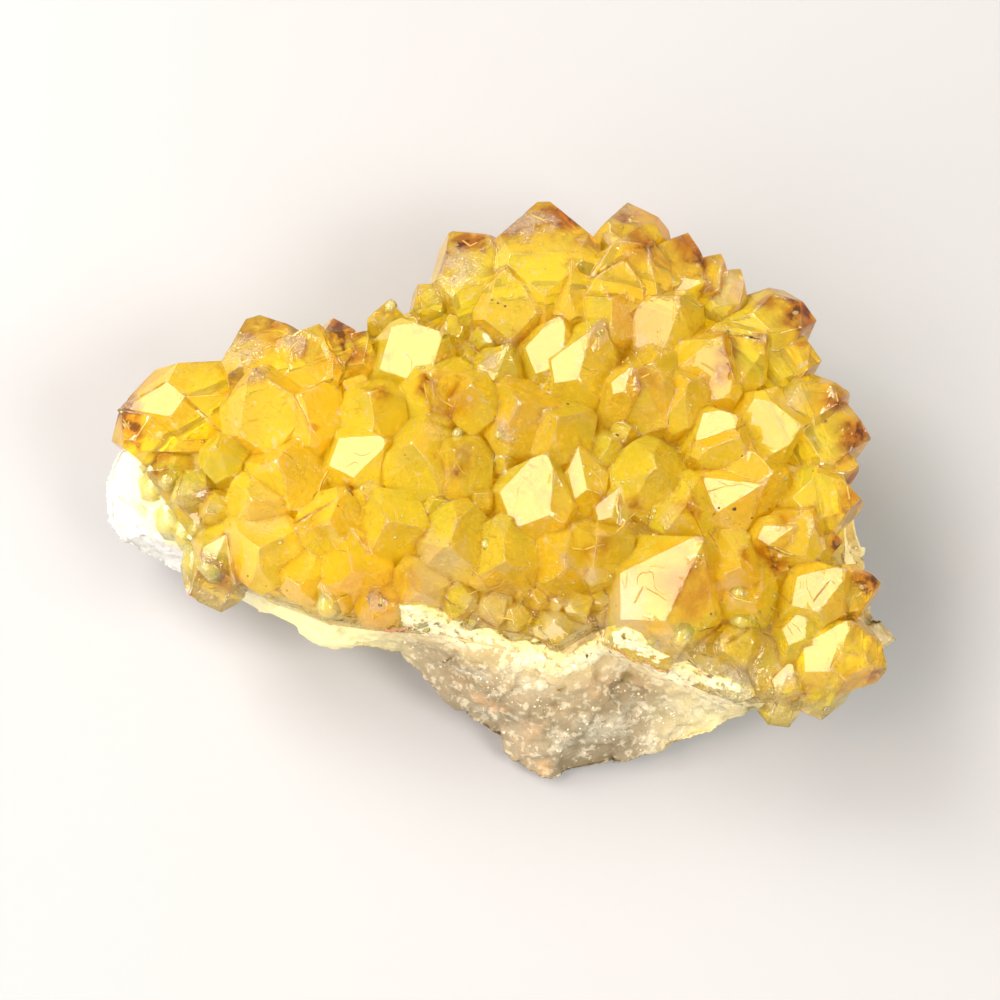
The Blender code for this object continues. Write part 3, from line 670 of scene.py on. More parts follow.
def new_material(name):
    """A material, its bench, its shader, and the place on the piece that its patterns read."""
    material = bpy.data.materials.new(name)
    material.use_nodes = True
    bench = Bench(material.node_tree)
    place = bench.node("ShaderNodeTexCoord").outputs["Object"]
    return material, bench, material.node_tree.nodes["Principled BSDF"], place


citrine, b, shader, place = new_material("citrine")
stained, cloudy, frosted = b.parts("marks")
toned, honeyed, _ = b.parts("growth")
on_ridges, in_valleys, _ = b.parts("lines")
clouds = b.group(growth_clouds, place, 210.0)
grain = b.group(broken_grain, place, 2300.0)
body = b.mix(b.span(toned, 0.2, 0.9), (1.0, 0.93, 0.065, 1), (1.0, 0.75, 0.04, 1))
body = b.wash(body, honeyed, 0.85, (1.0, 0.57, 0.015, 1))
body = b.wash(body, clouds["Cloud"], 0.35, (1.0, 0.97, 0.15, 1))
body = b.wash(body, clouds["Wisp"], 0.3, (1.0, 0.96, 0.45, 1))
body = b.wash(body, clouds["Feather"], 0.6, (0.66, 0.32, 0.025, 1))
body = b.wash(body, cloudy, 0.85, (1.0, 0.95, 0.62, 1))
patchy = b.noise(place, 480.0, 3.0, 0.65)
stain = b.math("MULTIPLY", stained, b.span(patchy, 0.25, 0.5), True)
body = b.wash(body, stain, 0.95, (0.50, 0.17, 0.012, 1))
rust = b.math("MULTIPLY", b.span(stained, 0.4, 0.95), b.span(patchy, 0.52, 0.62))
body = b.mix(rust, body, (0.12, 0.035, 0.006, 1))
body = b.wash(body, in_valleys, b.span(patchy, 0.40, 0.60, 0.2, 0.75), (0.55, 0.27, 0.02, 1))
# painted highlights: thin pale lines along the ridges; the thin amber lines beside them are partly iron stain
# and partly painted shade
body = b.wash(body, on_ridges, b.span(patchy, 0.42, 0.58, 0.7, 0.0), (1.0, 0.96, 0.66, 1))
body = b.wash(body, on_ridges, b.span(patchy, 0.50, 0.62, 0.0, 0.6), (0.62, 0.32, 0.025, 1))
# painted glints: near-white flecks washed into the colour in patches of the grain's glint cells, a little
# rougher there
painted_glint = b.math("MULTIPLY", grain["Glint"], b.span(patchy, 0.54, 0.62))
body = b.wash(body, painted_glint, 0.55, (1.0, 0.98, 0.80, 1))
body = b.wash(body, frosted, 0.7, (1.0, 0.94, 0.72, 1))
b.put(shader.inputs["Base Color"], body)
rough = b.math("ADD", b.math("MULTIPLY", frosted, 0.22), b.math("MULTIPLY", clouds["Cloud"], 0.03))
b.put(shader.inputs["Roughness"], b.math("ADD", rough, b.math("MULTIPLY", painted_glint, 0.12)))
height = b.math("MULTIPLY", b.noise(place, 3200.0, 1.0, 0.7), frosted)
b.relief(shader, height, 0.5 * MM)
shader.inputs["IOR"].default_value = QUARTZ_INDEX
shader.inputs["Transmission Weight"].default_value = 0.76
absorption = b.node("ShaderNodeVolumeAbsorption")
absorption.inputs["Color"].default_value = (1.0, 0.957, 0.0, 1)
absorption.inputs["Density"].default_value = 700.0
b.put(citrine.node_tree.nodes["Material Output"].inputs["Volume"], absorption.outputs[0])
crystals.data.materials.append(citrine)
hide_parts("citrine_crystals")
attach(crystals, "root")

# ---- White quartz matrix ------------------------------------------------------------------------
# The massive white quartz that the points grew on, broken out of the vein. Its front is a fresh
# fracture, cloudy and sugary with glinting grains and a few iron stains, and it is flat only where
# it rests.
ROCK_STEP = 0.5 * MM
HIDDEN_ROCK_STEP = 2.5 * MM  # under the crust and on the flat
BED_LIFT = 0.7 * MM  # the bed is let into the crust's underside, as the two grew together
COVER_FRONT = -8 * MM  # the crust covers the bed behind this line
COVER_REACH = 33 * MM  # and this far to each side
# Rust, pits, a shaded hollow and the patches that sparkle: across and down the frame, radius in
# millimetres, strength.
RUST_MARKS = (
    (495, 708, 1.2, 0.9), (515, 750, 1.4, 1), (540, 770, 1.2, 1), (560, 672, 0.8, 0.8),
    (600, 686, 1.4, 0.7), (627, 684, 0.9, 1), (480, 700, 1.0, 0.8), (530, 735, 1.2, 0.6),
    (652, 690, 1.6, 0.3), (700, 690, 1.2, 0.3), (420, 650, 1.0, 0.4), (455, 680, 1.2, 0.3),
    (300, 630, 1.0, 0.3), (528, 742, 0.8, 0.8), (610, 725, 1.0, 0.3),
)
PIT_MARKS = (
    (627, 683, 0.7, 1), (621, 690, 0.5, 0.8), (577, 652, 0.35, 1), (569, 664, 0.4, 0.8),
    (558, 711, 0.5, 0.5), (140, 512, 0.7, 0.5), (577, 714, 0.5, 0.4), (423, 636, 0.8, 0.4),
    (563, 691, 0.5, 0.6), (640, 702, 0.6, 0.3),
)
SHADE_MARKS = ((880, 632, 2.4, 1),)
SPARKLE_MARKS = (
    (445, 645, 1.2, 1), (455, 668, 0.8, 1), (465, 670, 1.0, 1), (480, 672, 1.2, 1), (510, 674, 1.2, 1),
    (535, 650, 1.4, 1), (550, 640, 1.4, 0.9), (525, 688, 1.0, 0.9), (540, 690, 1.2, 1), (487, 714, 1.2, 1),
    (565, 744, 1.2, 1), (600, 652, 1.0, 1), (620, 667, 1.0, 0.8), (640, 712, 1.0, 0.9), (600, 732, 2.0, 1),
    (617, 728, 1.6, 1), (718, 705, 1.8, 1), (666, 679, 0.9, 1), (692, 686, 1.0, 0.9), (672, 708, 1.2, 0.8),
    (650, 742, 1.2, 0.8), (585, 725, 1.2, 0.7), (675, 735, 1.0, 0.7), (860, 520, 1.2, 1),
    (700, 715, 1.4, 0.8),
)

bm = merged_copy(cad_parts["quartz_matrix"])
rock_points, rock_faces, rock_tags = as_arrays(bm)
bm.free()


def is_covered(points):
    """Whether each place is behind the front of the crust and between its ends."""
    return (points[:, 1] > COVER_FRONT) & (np.abs(points[:, 0]) < COVER_REACH)


def rock_step(middle):
    """The longest edge allowed: short where the rock shows, long under the crust and on the flat."""
    hidden = (middle[:, 2] > bed_height(middle) - 0.3 * MM) & is_covered(middle)
    return np.where(hidden | (middle[:, 2] < 0.02 * MM), HIDDEN_ROCK_STEP, ROCK_STEP)


rock_points, rock_faces, _ = refined(rock_points, rock_faces, rock_tags, rock_step)
under_bed = bed_height(rock_points) - rock_points[:, 2]
bed_side = under_bed < 0.05 * MM
outward = point_normals(rock_points, rock_faces)
# big shells of fracture, lumps, then grains; all of it is taken off the block
shells = chips(rock_points, 5.2 * MM, 101, 1.0) * 0.42 * MM
shells = shells + layered_noise(rock_points, 4.0 * MM, 111, 2) * 0.25 * MM
lumps = layered_noise(rock_points, 1.7 * MM, 121, 2) * 0.16 * MM
lumps = lumps + chips(rock_points, 1.5 * MM, 131, 1.6) * 0.07 * MM
sparkle = near_marks(rock_points, SPARKLE_MARKS, "quartz_matrix")
pits = near_marks(rock_points, PIT_MARKS, "quartz_matrix")
shoulder = smooth_step(-24 * MM, -34 * MM, rock_points[:, 0])
grains = chips(rock_points, 0.8 * MM, 141, 1.8) * 0.07 * MM * (0.35 + sparkle)
rock_break = shells * (1 - 0.5 * shoulder) + lumps + grains - 0.45 * MM - pits * 0.3 * MM
# the flat underside stays flat, and the bed under the crust is hardly broken
under_crust = bed_side & is_covered(rock_points)
free = smooth_step(0.05 * MM, 0.8 * MM, rock_points[:, 2]) * np.where(under_crust, 0.25, 1.0)
rock_points = rock_points + outward * (rock_break * free)[:, None]
rock_points[bed_side, 2] += BED_LIFT
low, high = (np.array(corner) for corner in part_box("quartz_matrix"))
high[2] += BED_LIFT
rock_points = np.clip(rock_points, low, high)
rock = surface("matrix_rock", rock_points, rock_faces)
remember("matrix_rock", rock_points, rock_faces)
rock_rust = near_marks(rock_points, RUST_MARKS, "quartz_matrix")
# painted light: yellow light thrown by the citrine, washed into the rock near the crust, where it also fades
# into the crust's colour
by_crust = smooth_step(4.5 * MM, 0.3 * MM, under_bed + 0.8 * MM * layered_noise(rock_points, 3 * MM, 161))
# painted shade: the fracture darker lower down, less so toward the right, and in one patch at the right-hand
# end
painted_shade_low = smooth_step(2.0 * MM, 9.0 * MM, under_bed + 1.5 * MM * layered_noise(rock_points, 5 * MM, 171))
painted_shade_low = painted_shade_low * (1 - 0.7 * smooth_step(11 * MM, 20 * MM, rock_points[:, 0]))
paint(rock, "stain", rock_rust, shoulder, by_crust)
painted_shade_low = np.maximum(painted_shade_low, near_marks(rock_points, SHADE_MARKS, "quartz_matrix"))
# painted light: the rock brighter and paler out to the left, toward the window, and at the right-hand end
out_left = smooth_step(-8 * MM, -17 * MM, rock_points[:, 0])
out_right = 0.65 * smooth_step(13 * MM, 22 * MM, rock_points[:, 0])
painted_light = np.maximum(out_left, out_right)
painted_light = painted_light * (1 - painted_shade_low * (rock_points[:, 0] > 30 * MM))
paint(rock, "break", painted_shade_low, sparkle, pits)
paint(rock, "painted_light", painted_light)
smoothed(rock)

white_quartz, b, shader, place = new_material("white quartz")
rusty, on_shoulder, near_crust = b.parts("stain")
shaded, sparkling, pitted = b.parts("break")
painted_light_share, _, _ = b.parts("painted_light")
clouds = b.group(growth_clouds, place, 160.0)
grain = b.group(broken_grain, place, 1500.0)
stone = b.mix(clouds["Cloud"], (0.34, 0.24, 0.11, 1), (0.46, 0.345, 0.18, 1))
# painted shade: darker lower down and in the shaded patch
stone = b.mix(shaded, stone, b.mix(clouds["Cloud"], (0.24, 0.18, 0.092, 1), (0.37, 0.285, 0.16, 1)))
stone = b.wash(stone, grain["Grain"], 0.16, (0.36, 0.32, 0.22, 1))
stone = b.mix(b.span(b.noise(place, 950.0, 2.0, 0.65), 0.52, 0.64, 0.0, 0.4), stone, (0.90, 0.82, 0.58, 1))
stone = b.wash(stone, clouds["Feather"], 0.3, (0.52, 0.36, 0.18, 1))
# painted yellow light from the citrine near the crust, on the fracture and on the white shoulder
stone = b.wash(stone, near_crust, 0.55, (0.90, 0.70, 0.30, 1))
# painted light: brighter and yellower out to the left and at the right-hand end
stone = b.wash(stone, painted_light_share, 0.92, (1.0, 0.87, 0.42, 1))
# painted sparkle: the sparkling patches washed paler, besides their lower roughness and stronger relief
stone = b.wash(stone, sparkling, 0.3, (0.93, 0.85, 0.62, 1))
white = b.mix(b.span(near_crust, 0.0, 0.6), (0.60, 0.595, 0.55, 1), (0.86, 0.76, 0.43, 1))
stone = b.mix(on_shoulder, stone, white)
rusted = b.math("MULTIPLY", rusty, b.span(b.noise(place, 420.0, 2.0, 0.6), 0.4, 0.6))
stone = b.wash(stone, rusted, 0.55, (0.78, 0.44, 0.17, 1))
stone = b.wash(stone, pitted, 0.85, (0.22, 0.14, 0.03, 1))
b.put(shader.inputs["Base Color"], stone)
polish = b.math("MULTIPLY", grain["Glint"], 0.12)
b.put(shader.inputs["Roughness"], b.math("SUBTRACT", b.span(sparkling, 0.0, 1.0, 0.5, 0.24), polish))
relief = b.math("MULTIPLY", grain["Height"], b.span(sparkling, 0.0, 1.0, 0.45, 1.3))
height = b.math("ADD", relief, b.math("MULTIPLY", b.noise(place, 3500.0, 0.0), 0.12))
b.relief(shader, height, 0.4 * MM)
shader.inputs["IOR"].default_value = QUARTZ_INDEX
rock.data.materials.append(white_quartz)
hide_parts("quartz_matrix")
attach(rock, "root")

# ---- Hairline cracks ----------------------------------------------------------------------------
# Cracks that run in from the faces of the citrine and out through the ledge below it. Iron water
# has dried in them, so each shows as a thin amber or brown thread let into the face.
THREAD_STEP = 0.22 * MM
THREAD_JITTER = 0.035 * MM
THREAD_DEPTH = 0.30  # of its width
THREAD_END = 0.004 * MM  # half the width left at its ends
THREAD_SIDES = 4

# Each crack: its width in millimetres, how dark it is, then its bends, across and down the frame.
# Those on the broad faces come first, then those between the crystals, then the ledge's.
FACE_CRACKS = (
    (0.09, 0.5, (637, 556), (639, 563), (640, 569)),
    (0.12, 0.6, (638, 585), (637, 578), (640, 574), (643, 572), (647, 574), (649, 571), (653, 573),
     (654, 580)),
    (0.10, 0.5, (654, 580), (654, 586), (657, 590), (661, 594), (667, 594), (671, 592)),
    (0.24, 0.6, (643, 586), (639, 594), (634, 604)),
    (0.17, 0.6, (644, 587), (652, 591), (660, 596), (668, 602)),
    (0.09, 0.5, (621, 571), (622, 579), (624, 585), (625, 590)),
    (0.10, 0.5, (626, 567), (627, 574), (627, 580), (625, 589)),
    (0.14, 0.3, (649, 567), (655, 565), (660, 567), (666, 568)),
    (0.20, 0.8, (830, 580), (822, 590), (816, 598), (813, 603)),
    (0.12, 0.7, (830, 580), (837, 585), (845, 590)),
    (0.08, 0.5, (800, 580), (801, 589)),
    (0.07, 0.5, (803, 580), (804, 590)),
    (0.09, 0.6, (806, 578), (807, 588), (811, 596), (815, 601)),
    (0.12, 0.6, (790, 621), (796, 627), (802, 633)),
    (0.12, 0.5, (787, 625), (790, 630), (793, 635)),
    (0.10, 0.5, (352, 452), (362, 456), (372, 452)),
    (0.09, 0.4, (346, 468), (354, 462), (360, 464)),
    (0.10, 0.4, (512, 478), (519, 487), (517, 497)),
    (0.09, 0.4, (404, 352), (412, 360), (411, 371)),
    (0.12, 0.5, (716, 480), (728, 486), (741, 484), (756, 489)),
    (0.10, 0.5, (705, 492), (716, 489), (728, 486)),
)
BODY_CRACKS = (
    (0.20, 1.0, (698, 631), (706, 629), (715, 627)),
    (0.22, 0.6, (708, 529), (713, 537), (719, 549)),
    (0.30, 0.4, (615, 535), (622, 527), (628, 519), (638, 512)),
    (0.26, 0.6, (678, 577), (684, 579), (689, 577)),
    (0.24, 0.8, (442, 596), (451, 604), (462, 609)),
    (0.20, 0.5, (522, 592), (524, 603), (518, 608)),
    (0.20, 0.5, (469, 595), (479, 590)),
    (0.16, 0.4, (497, 617), (515, 620), (533, 626)),
    (0.26, 0.5, (668, 642), (674, 649), (681, 653)),
    (0.24, 0.4, (755, 617), (762, 631), (776, 639)),
    (0.16, 0.4, (752, 659), (765, 660)),
    (0.40, 0.7, (765, 546), (775, 548), (786, 553), (797, 556)),
    (0.24, 0.6, (426, 372), (424, 384), (427, 398), (433, 408)),
    (0.20, 0.5, (436, 392), (444, 402), (455, 408)),
    (0.18, 0.5, (578, 366), (590, 370), (601, 369)),
    (0.18, 0.6, (346, 486), (350, 491), (354, 496)),
    (0.22, 0.4, (328, 470), (322, 482), (318, 494)),
    (0.24, 0.5, (725, 330), (731, 345), (732, 362), (728, 380)),
    (0.20, 0.5, (700, 362), (708, 366), (716, 372)),
    (0.18, 0.5, (632, 352), (641, 362), (652, 372)),
    (0.16, 0.4, (640, 378), (650, 374), (658, 366)),
    (0.22, 0.6, (755, 342), (766, 334), (776, 332)),
    (0.26, 0.6, (246, 384), (256, 374), (268, 372), (280, 378)),
    (0.22, 0.5, (228, 400), (236, 388), (246, 384)),
    (0.20, 0.5, (286, 362), (290, 350), (298, 342)),
    (0.22, 0.6, (122, 392), (118, 404), (122, 418), (130, 430)),
    (0.18, 0.4, (148, 430), (156, 438), (166, 440)),
    (0.20, 0.5, (198, 490), (204, 493), (212, 492)),
    (0.18, 0.4, (470, 568), (482, 578), (488, 590)),
    (0.16, 0.4, (488, 590), (500, 586), (508, 576)),
    (0.18, 0.4, (560, 540), (572, 548), (584, 550)),
    (0.22, 0.5, (584, 550), (596, 546), (606, 544)),
    (0.16, 0.4, (456, 462), (462, 472), (470, 478)),
    (0.14, 0.4, (384, 500), (394, 508), (398, 520)),
    (0.20, 0.5, (378, 588), (381, 598), (380, 608)),
    (0.22, 0.6, (842, 474), (847, 486), (850, 500), (852, 514)),
    (0.20, 0.5, (836, 392), (838, 402), (836, 412)),
    (0.18, 0.5, (620, 228), (630, 220), (640, 222)),
    (0.22, 0.5, (498, 238), (504, 226), (516, 218)),
    (0.18, 0.4, (530, 214), (544, 220), (556, 216)),
    (0.18, 0.5, (462, 240), (470, 246), (478, 242)),
    (0.16, 0.4, (494, 296), (500, 302), (508, 306)),
    (0.16, 0.4, (590, 470), (600, 478), (604, 490)),
    (0.16, 0.4, (650, 452), (662, 456), (672, 452)),
    (0.18, 0.4, (770, 606), (778, 612), (780, 622)),
    (0.16, 0.4, (330, 540), (338, 550), (350, 552)),
    (0.16, 0.4, (280, 452), (292, 458), (300, 468)),
)
LEDGE_CRACKS = (
    (0.22, 0.9, (442, 663), (448, 660), (454, 656)),
    (0.22, 0.6, (466, 673), (475, 681), (484, 687), (494, 692)),
    (0.24, 0.7, (564, 667), (570, 663), (574, 663)),
    (0.20, 0.5, (555, 690), (562, 692), (570, 690)),
)


def ring_sides(count, around):
    """Two triangles for each cell between that many rings of points, each ring closed on itself."""
    i, j = np.meshgrid(np.arange(count - 1), np.arange(around), indexing="ij")
    a, c = (i * around + j).ravel(), (i * around + (j + 1) % around).ravel()
    return np.concatenate([
        np.stack([a, a + around, c], axis=1), np.stack([c, a + around, c + around], axis=1)
    ])


def fan(hub, first, around):
    """Triangles from the hub to each two neighbours of the ring that begins at the first point."""
    j = np.arange(around)
    return np.stack([np.full(around, hub), first + j, first + (j + 1) % around], axis=1)


def turned(faces):
    """The same triangles with their other side out."""
    return faces[:, (0, 2, 1)]


def thread(bends, width):
    """A thin closed thread through the bends. Its middle line is cut into short steps that stray
    sideways a hair; at each step its section is a flat diamond, as wide as the crack times
    (1 − (2s − 1)⁴)^½ with s the share of its length, so it draws almost to a point at both ends."""
    points, normals, _ = bends
    runs = np.linalg.norm(np.diff(points, axis=0), axis=1)
    along = np.concatenate([[0.0], np.cumsum(runs)])
    count = max(6, int(along[-1] / THREAD_STEP))
    s = np.linspace(0.0, 1.0, count)
    middle = np.stack([np.interp(s * along[-1], along, points[:, k]) for k in range(3)], axis=1)
    facing = unit(np.stack([np.interp(s * along[-1], along, normals[:, k]) for k in range(3)], axis=1))
    way = unit(np.gradient(middle, axis=0))
    sideways = unit(np.cross(facing, way))
    middle = middle + sideways * (soft_noise(middle, 0.5 * MM, 301) * THREAD_JITTER)[:, None]
    half = 0.5 * width * MM * np.sqrt(np.clip(1.0 - (2.0 * s - 1.0) ** 4, 0.0, 1.0)) + THREAD_END
    across, off = sideways * half[:, None], facing * (half * THREAD_DEPTH)[:, None]
    ring = np.stack([middle + across, middle + off, middle - across, middle - off], axis=1)
    start = np.array([(0, 1, 2), (0, 2, 3)])
    finish = turned(start) + (count - 1) * THREAD_SIDES
    return ring.reshape(-1, 3), np.concatenate([ring_sides(count, THREAD_SIDES), start, finish])


def joined(shapes):
    """Several shapes' points and faces as one set."""
    starts = np.cumsum([0] + [len(points) for points, _ in shapes[:-1]])
    faces = np.concatenate([faces + start for (_, faces), start in zip(shapes, starts)])
    return np.concatenate([points for points, _ in shapes]), faces


def cracked(name, cracks, stone):
    """One piece of all those threads, with how dark each is stored for the material."""
    shapes = [thread(landed(bends, stone), width) for width, _, *bends in cracks]
    dark = np.concatenate([np.full(len(points), how) for (points, _), (_, how, *_) in zip(shapes, cracks)])
    piece = surface(name, *joined(shapes))
    paint(piece, "dark", dark)
    piece.data.materials.append(crack_stain)
    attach(piece, "root")


crack_stain, b, shader, place = new_material("crack stain")
how_dark, _, _ = b.parts("dark")
dark = b.math("MULTIPLY", how_dark, b.span(b.noise(place, 1800.0, 2.0), 0.25, 0.6, 0.55, 1.0))
b.put(shader.inputs["Base Color"], b.mix(dark, (0.86, 0.55, 0.08, 1), (0.13, 0.055, 0.006, 1)))
b.put(shader.inputs["Roughness"], b.span(b.noise(place, 2600.0, 1.0), 0.3, 0.7, 0.35, 0.6))
cracked("crystal_cracks", FACE_CRACKS + BODY_CRACKS, "citrine_druse")
cracked("ledge_cracks", LEDGE_CRACKS, "matrix_rock")

# ---- Mineral specks -----------------------------------------------------------------------------
# Grains of dark iron ore, a sixth to half a millimetre across, caught in the faces as they grew.
SPECK_ROWS = 7
SPECK_COLUMNS = 9
STONES = ("citrine_druse", "matrix_rock")  # what the later pieces are set on
# Across and down the frame, and the width in millimetres.
SPECK_MARKS = (
    (568, 404, 0.40), (551, 422, 0.22), (617, 435, 0.45), (631, 407, 0.20), (742, 456, 0.22),
    (719, 508, 0.3), (734, 509, 0.5), (769, 509, 0.3), (752, 518, 0.25), (813, 471, 0.25), (711, 614, 0.32),
    (577, 650, 0.3), (338, 506, 0.2), (498, 303, 0.3), (505, 306, 0.35), (492, 300, 0.22), (380, 605, 0.45),
    (700, 560, 0.2), (437, 498, 0.2), (447, 510, 0.15), (648, 470, 0.18), (825, 421, 0.35),
    (405, 455, 0.18), (606, 594, 0.2), (616, 606, 0.16), (664, 528, 0.16), (248, 576, 0.24),
    (266, 586, 0.18), (737, 590, 0.3), (722, 600, 0.2),
)


def speck(middle, facing, width, salt):
    """A closed angular grain: a globe's grid of turns and heights, its radius broken into chips,
    and flattened to half along the face's normal."""
    turns = np.linspace(0, 2 * np.pi, SPECK_COLUMNS, endpoint=False)
    turn, height = np.meshgrid(turns, np.linspace(0, np.pi, SPECK_ROWS + 2)[1:-1])
    ring = np.stack([np.sin(height) * np.cos(turn), np.sin(height) * np.sin(turn), np.cos(height)], axis=2)
    globe = np.concatenate([[(0.0, 0.0, 1.0)], ring.reshape(-1, 3), [(0.0, 0.0, -1.0)]])
    radius = 0.5 * width * MM * (0.85 + 0.3 * chips(globe, 0.9, salt, 0.6))
    globe = globe * radius[:, None]
    side = unit(np.cross(facing, (0.3, 1.0, 0.2))[None])[0]
    axes = np.stack([side, np.cross(facing, side), facing * 0.5])
    last = 1 + (SPECK_ROWS - 1) * SPECK_COLUMNS
    top, bottom = fan(0, 1, SPECK_COLUMNS), turned(fan(len(globe) - 1, last, SPECK_COLUMNS))
    sides = 1 + ring_sides(SPECK_ROWS, SPECK_COLUMNS)
    return middle + globe @ axes, np.concatenate([sides, top, bottom])


middles, facings, widths = landed(SPECK_MARKS, *STONES)
grains = [speck(m, f, w[0], 400 + k) for k, (m, f, w) in enumerate(zip(middles, facings, widths))]
specks = surface("mineral_specks", *joined(grains))
ore, b, shader, place = new_material("dark ore")
rusty = b.span(b.noise(place, 5000.0, 2.0), 0.35, 0.65)
b.put(shader.inputs["Base Color"], b.mix(rusty, (0.035, 0.022, 0.006, 1), (0.16, 0.11, 0.02, 1)))
shader.inputs["Roughness"].default_value = 0.45
b.relief(shader, b.noise(place, 9000.0, 2.0), 0.1 * MM, 0.5)
specks.data.materials.append(ore)
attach(specks, "root")

# ---- Late points --------------------------------------------------------------------------------
# A last, paler growth of quartz: points a fifth of a millimetre to two in radius, set on the bigger
# crystals, along the crust's front and on the white shoulder, and finer flakes knocked up off the
# faces. Each is a six-sided prism under a six-sided point.
QUARTZ_LEAN = math.radians(51.8)  # a point's faces stand so from level when its axis is upright
# faces that look this way throw the window at the eye
WINDOW_FACING = np.array((-0.3214, -0.1170, 0.9397))
LIT_SHARE = 0.55  # of the flakes have a face turned that way
# Across and down the frame, radius in millimetres, the way it leans in degrees from +X.
LATE_MARKS = (
    (737, 621, 1.1, 20), (680, 641, 1.1, 80), (741, 594, 0.7, 150), (773, 597, 0.24, 60),
    (202, 442, 0.20, 30), (283, 507, 0.22, 140), (279, 544, 0.26, 60), (247, 470, 0.16, 200),
    (485, 547, 0.5, 95), (455, 436, 0.6, 60), (324, 600, 1.2, 280), (650, 642, 0.6, 60),
    (497, 436, 0.5, 40), (400, 300, 0.7, 110), (388, 309, 0.6, 60), (610, 577, 0.2, 80),
    (655, 512, 0.3, 100),
)
# Pale points on the white shoulder, beside the crust: across, down, radius in millimetres.
SHOULDER_MARKS = (
    (146, 468, 1.7), (156, 490, 2.1), (168, 510, 2.2), (180, 530, 2.2), (190, 548, 1.9), (200, 563, 1.6),
    (166, 480, 1.3), (176, 500, 1.4), (193, 530, 1.3), (210, 574, 1.2),
)
# Flakes knocked up off the faces, by clusters: across, down, spread in steps, how many.
FLAKE_CLUSTERS = (
    (505, 345, 10, 16), (592, 326, 9, 12), (632, 362, 7, 7), (515, 438, 6, 8), (600, 330, 8, 8),
    (455, 262, 16, 14), (520, 222, 18, 14), (244, 350, 14, 12), (253, 370, 10, 10), (660, 522, 10, 10),
    (645, 515, 8, 6), (420, 366, 8, 6), (212, 570, 12, 14), (226, 584, 10, 10), (440, 540, 10, 6),
    (505, 290, 10, 6), (660, 345, 14, 8), (690, 400, 12, 5), (700, 640, 16, 14), (735, 684, 20, 34),
    (770, 694, 10, 12), (376, 602, 9, 9), (478, 450, 8, 5), (300, 470, 14, 5), (350, 490, 8, 5),
    (268, 520, 14, 6), (620, 470, 12, 5), (590, 470, 10, 5), (700, 560, 12, 6), (560, 570, 16, 8),
    (735, 290, 14, 8), (700, 300, 12, 6), (790, 400, 12, 6), (120, 402, 8, 8), (845, 480, 10, 6),
    (500, 600, 20, 10), (620, 215, 12, 6), (800, 330, 10, 5), (850, 430, 10, 5), (400, 520, 26, 8),
    (300, 560, 30, 8), (540, 400, 30, 6), (780, 480, 24, 8), (670, 470, 30, 8), (450, 330, 24, 6),
    (560, 280, 30, 8), (640, 270, 26, 6), (750, 520, 24, 8),
)
FLAKE_LIMITS = (0.05, 0.20)  # radius, millimetres


def quartz_points(middles, axes, sideways, radii, bodies, rng):
    """Many six-sided points at once. Around each axis the corners of the prism stand at 30 + 60k
    degrees from its sideways direction, a few per cent nearer or farther; the prism stands up by
    its body times its radius, and over it the tip rises by radius · cos 30° · tan 51.8°."""
    beside = np.cross(axes, sideways)
    turn = np.radians(30.0 + 60.0 * np.arange(6))[None, :, None]
    ring = np.cos(turn) * sideways[:, None] + np.sin(turn) * beside[:, None]
    size = (radii * MM)[:, None]
    ring = ring * size[:, None] * (1 + 0.07 * (rng.random((len(radii), 6, 1)) - 0.5))
    head = axes * (size * bodies[:, None])
    tip = head + axes * (size * math.cos(math.radians(30.0)) * math.tan(QUARTZ_LEAN))
    foot = -axes * 1.6 * size
    points = np.concatenate([ring + foot[:, None], ring + head[:, None], tip[:, None], foot[:, None]], axis=1)
    k = np.arange(6)
    n = (k + 1) % 6
    pattern = np.concatenate([
        np.stack([k, n, n + 6], axis=1), np.stack([k, n + 6, k + 6], axis=1),
        np.stack([k + 6, n + 6, np.full(6, 12)], axis=1), np.stack([n, k, np.full(6, 13)], axis=1),
    ])
    faces = pattern[None] + 14 * np.arange(len(radii))[:, None, None]
    return (points + middles[:, None]).reshape(-1, 3), faces.reshape(-1, 3)


def to_window(leans):
    """For each lean in degrees, an axis with one of its point's faces turned to the window, and
    the sideways direction of that face: the axis lies 51.8 degrees off the window's facing."""
    lean = np.radians(leans)
    flat = np.stack([np.cos(lean), np.sin(lean), np.zeros_like(lean)], axis=1)
    flat = unit(flat - (flat @ WINDOW_FACING)[:, None] * WINDOW_FACING)
    axes = math.cos(QUARTZ_LEAN) * WINDOW_FACING - math.sin(QUARTZ_LEAN) * flat
    return axes, unit(WINDOW_FACING - axes * (axes @ WINDOW_FACING)[:, None])


def any_way(facings, spread, rng):
    """Axes strewn about the facings by that much, and a sideways direction square to each."""
    axes = unit(facings + spread * rng.normal(size=facings.shape))
    return axes, unit(np.cross(axes, rng.normal(size=facings.shape)))


def strewn(clusters, rng_of):
    """Marks scattered about the middle of each cluster, (across, down, spread, how many), by the
    random numbers that rng_of gives for that many."""
    return [
        (across + spread * dx, down + spread * dy)
        for across, down, spread, count in clusters
        for dx, dy in np.clip(rng_of(count).normal(0.0, 0.6, size=(count, 2)), -1.5, 1.5)
    ]


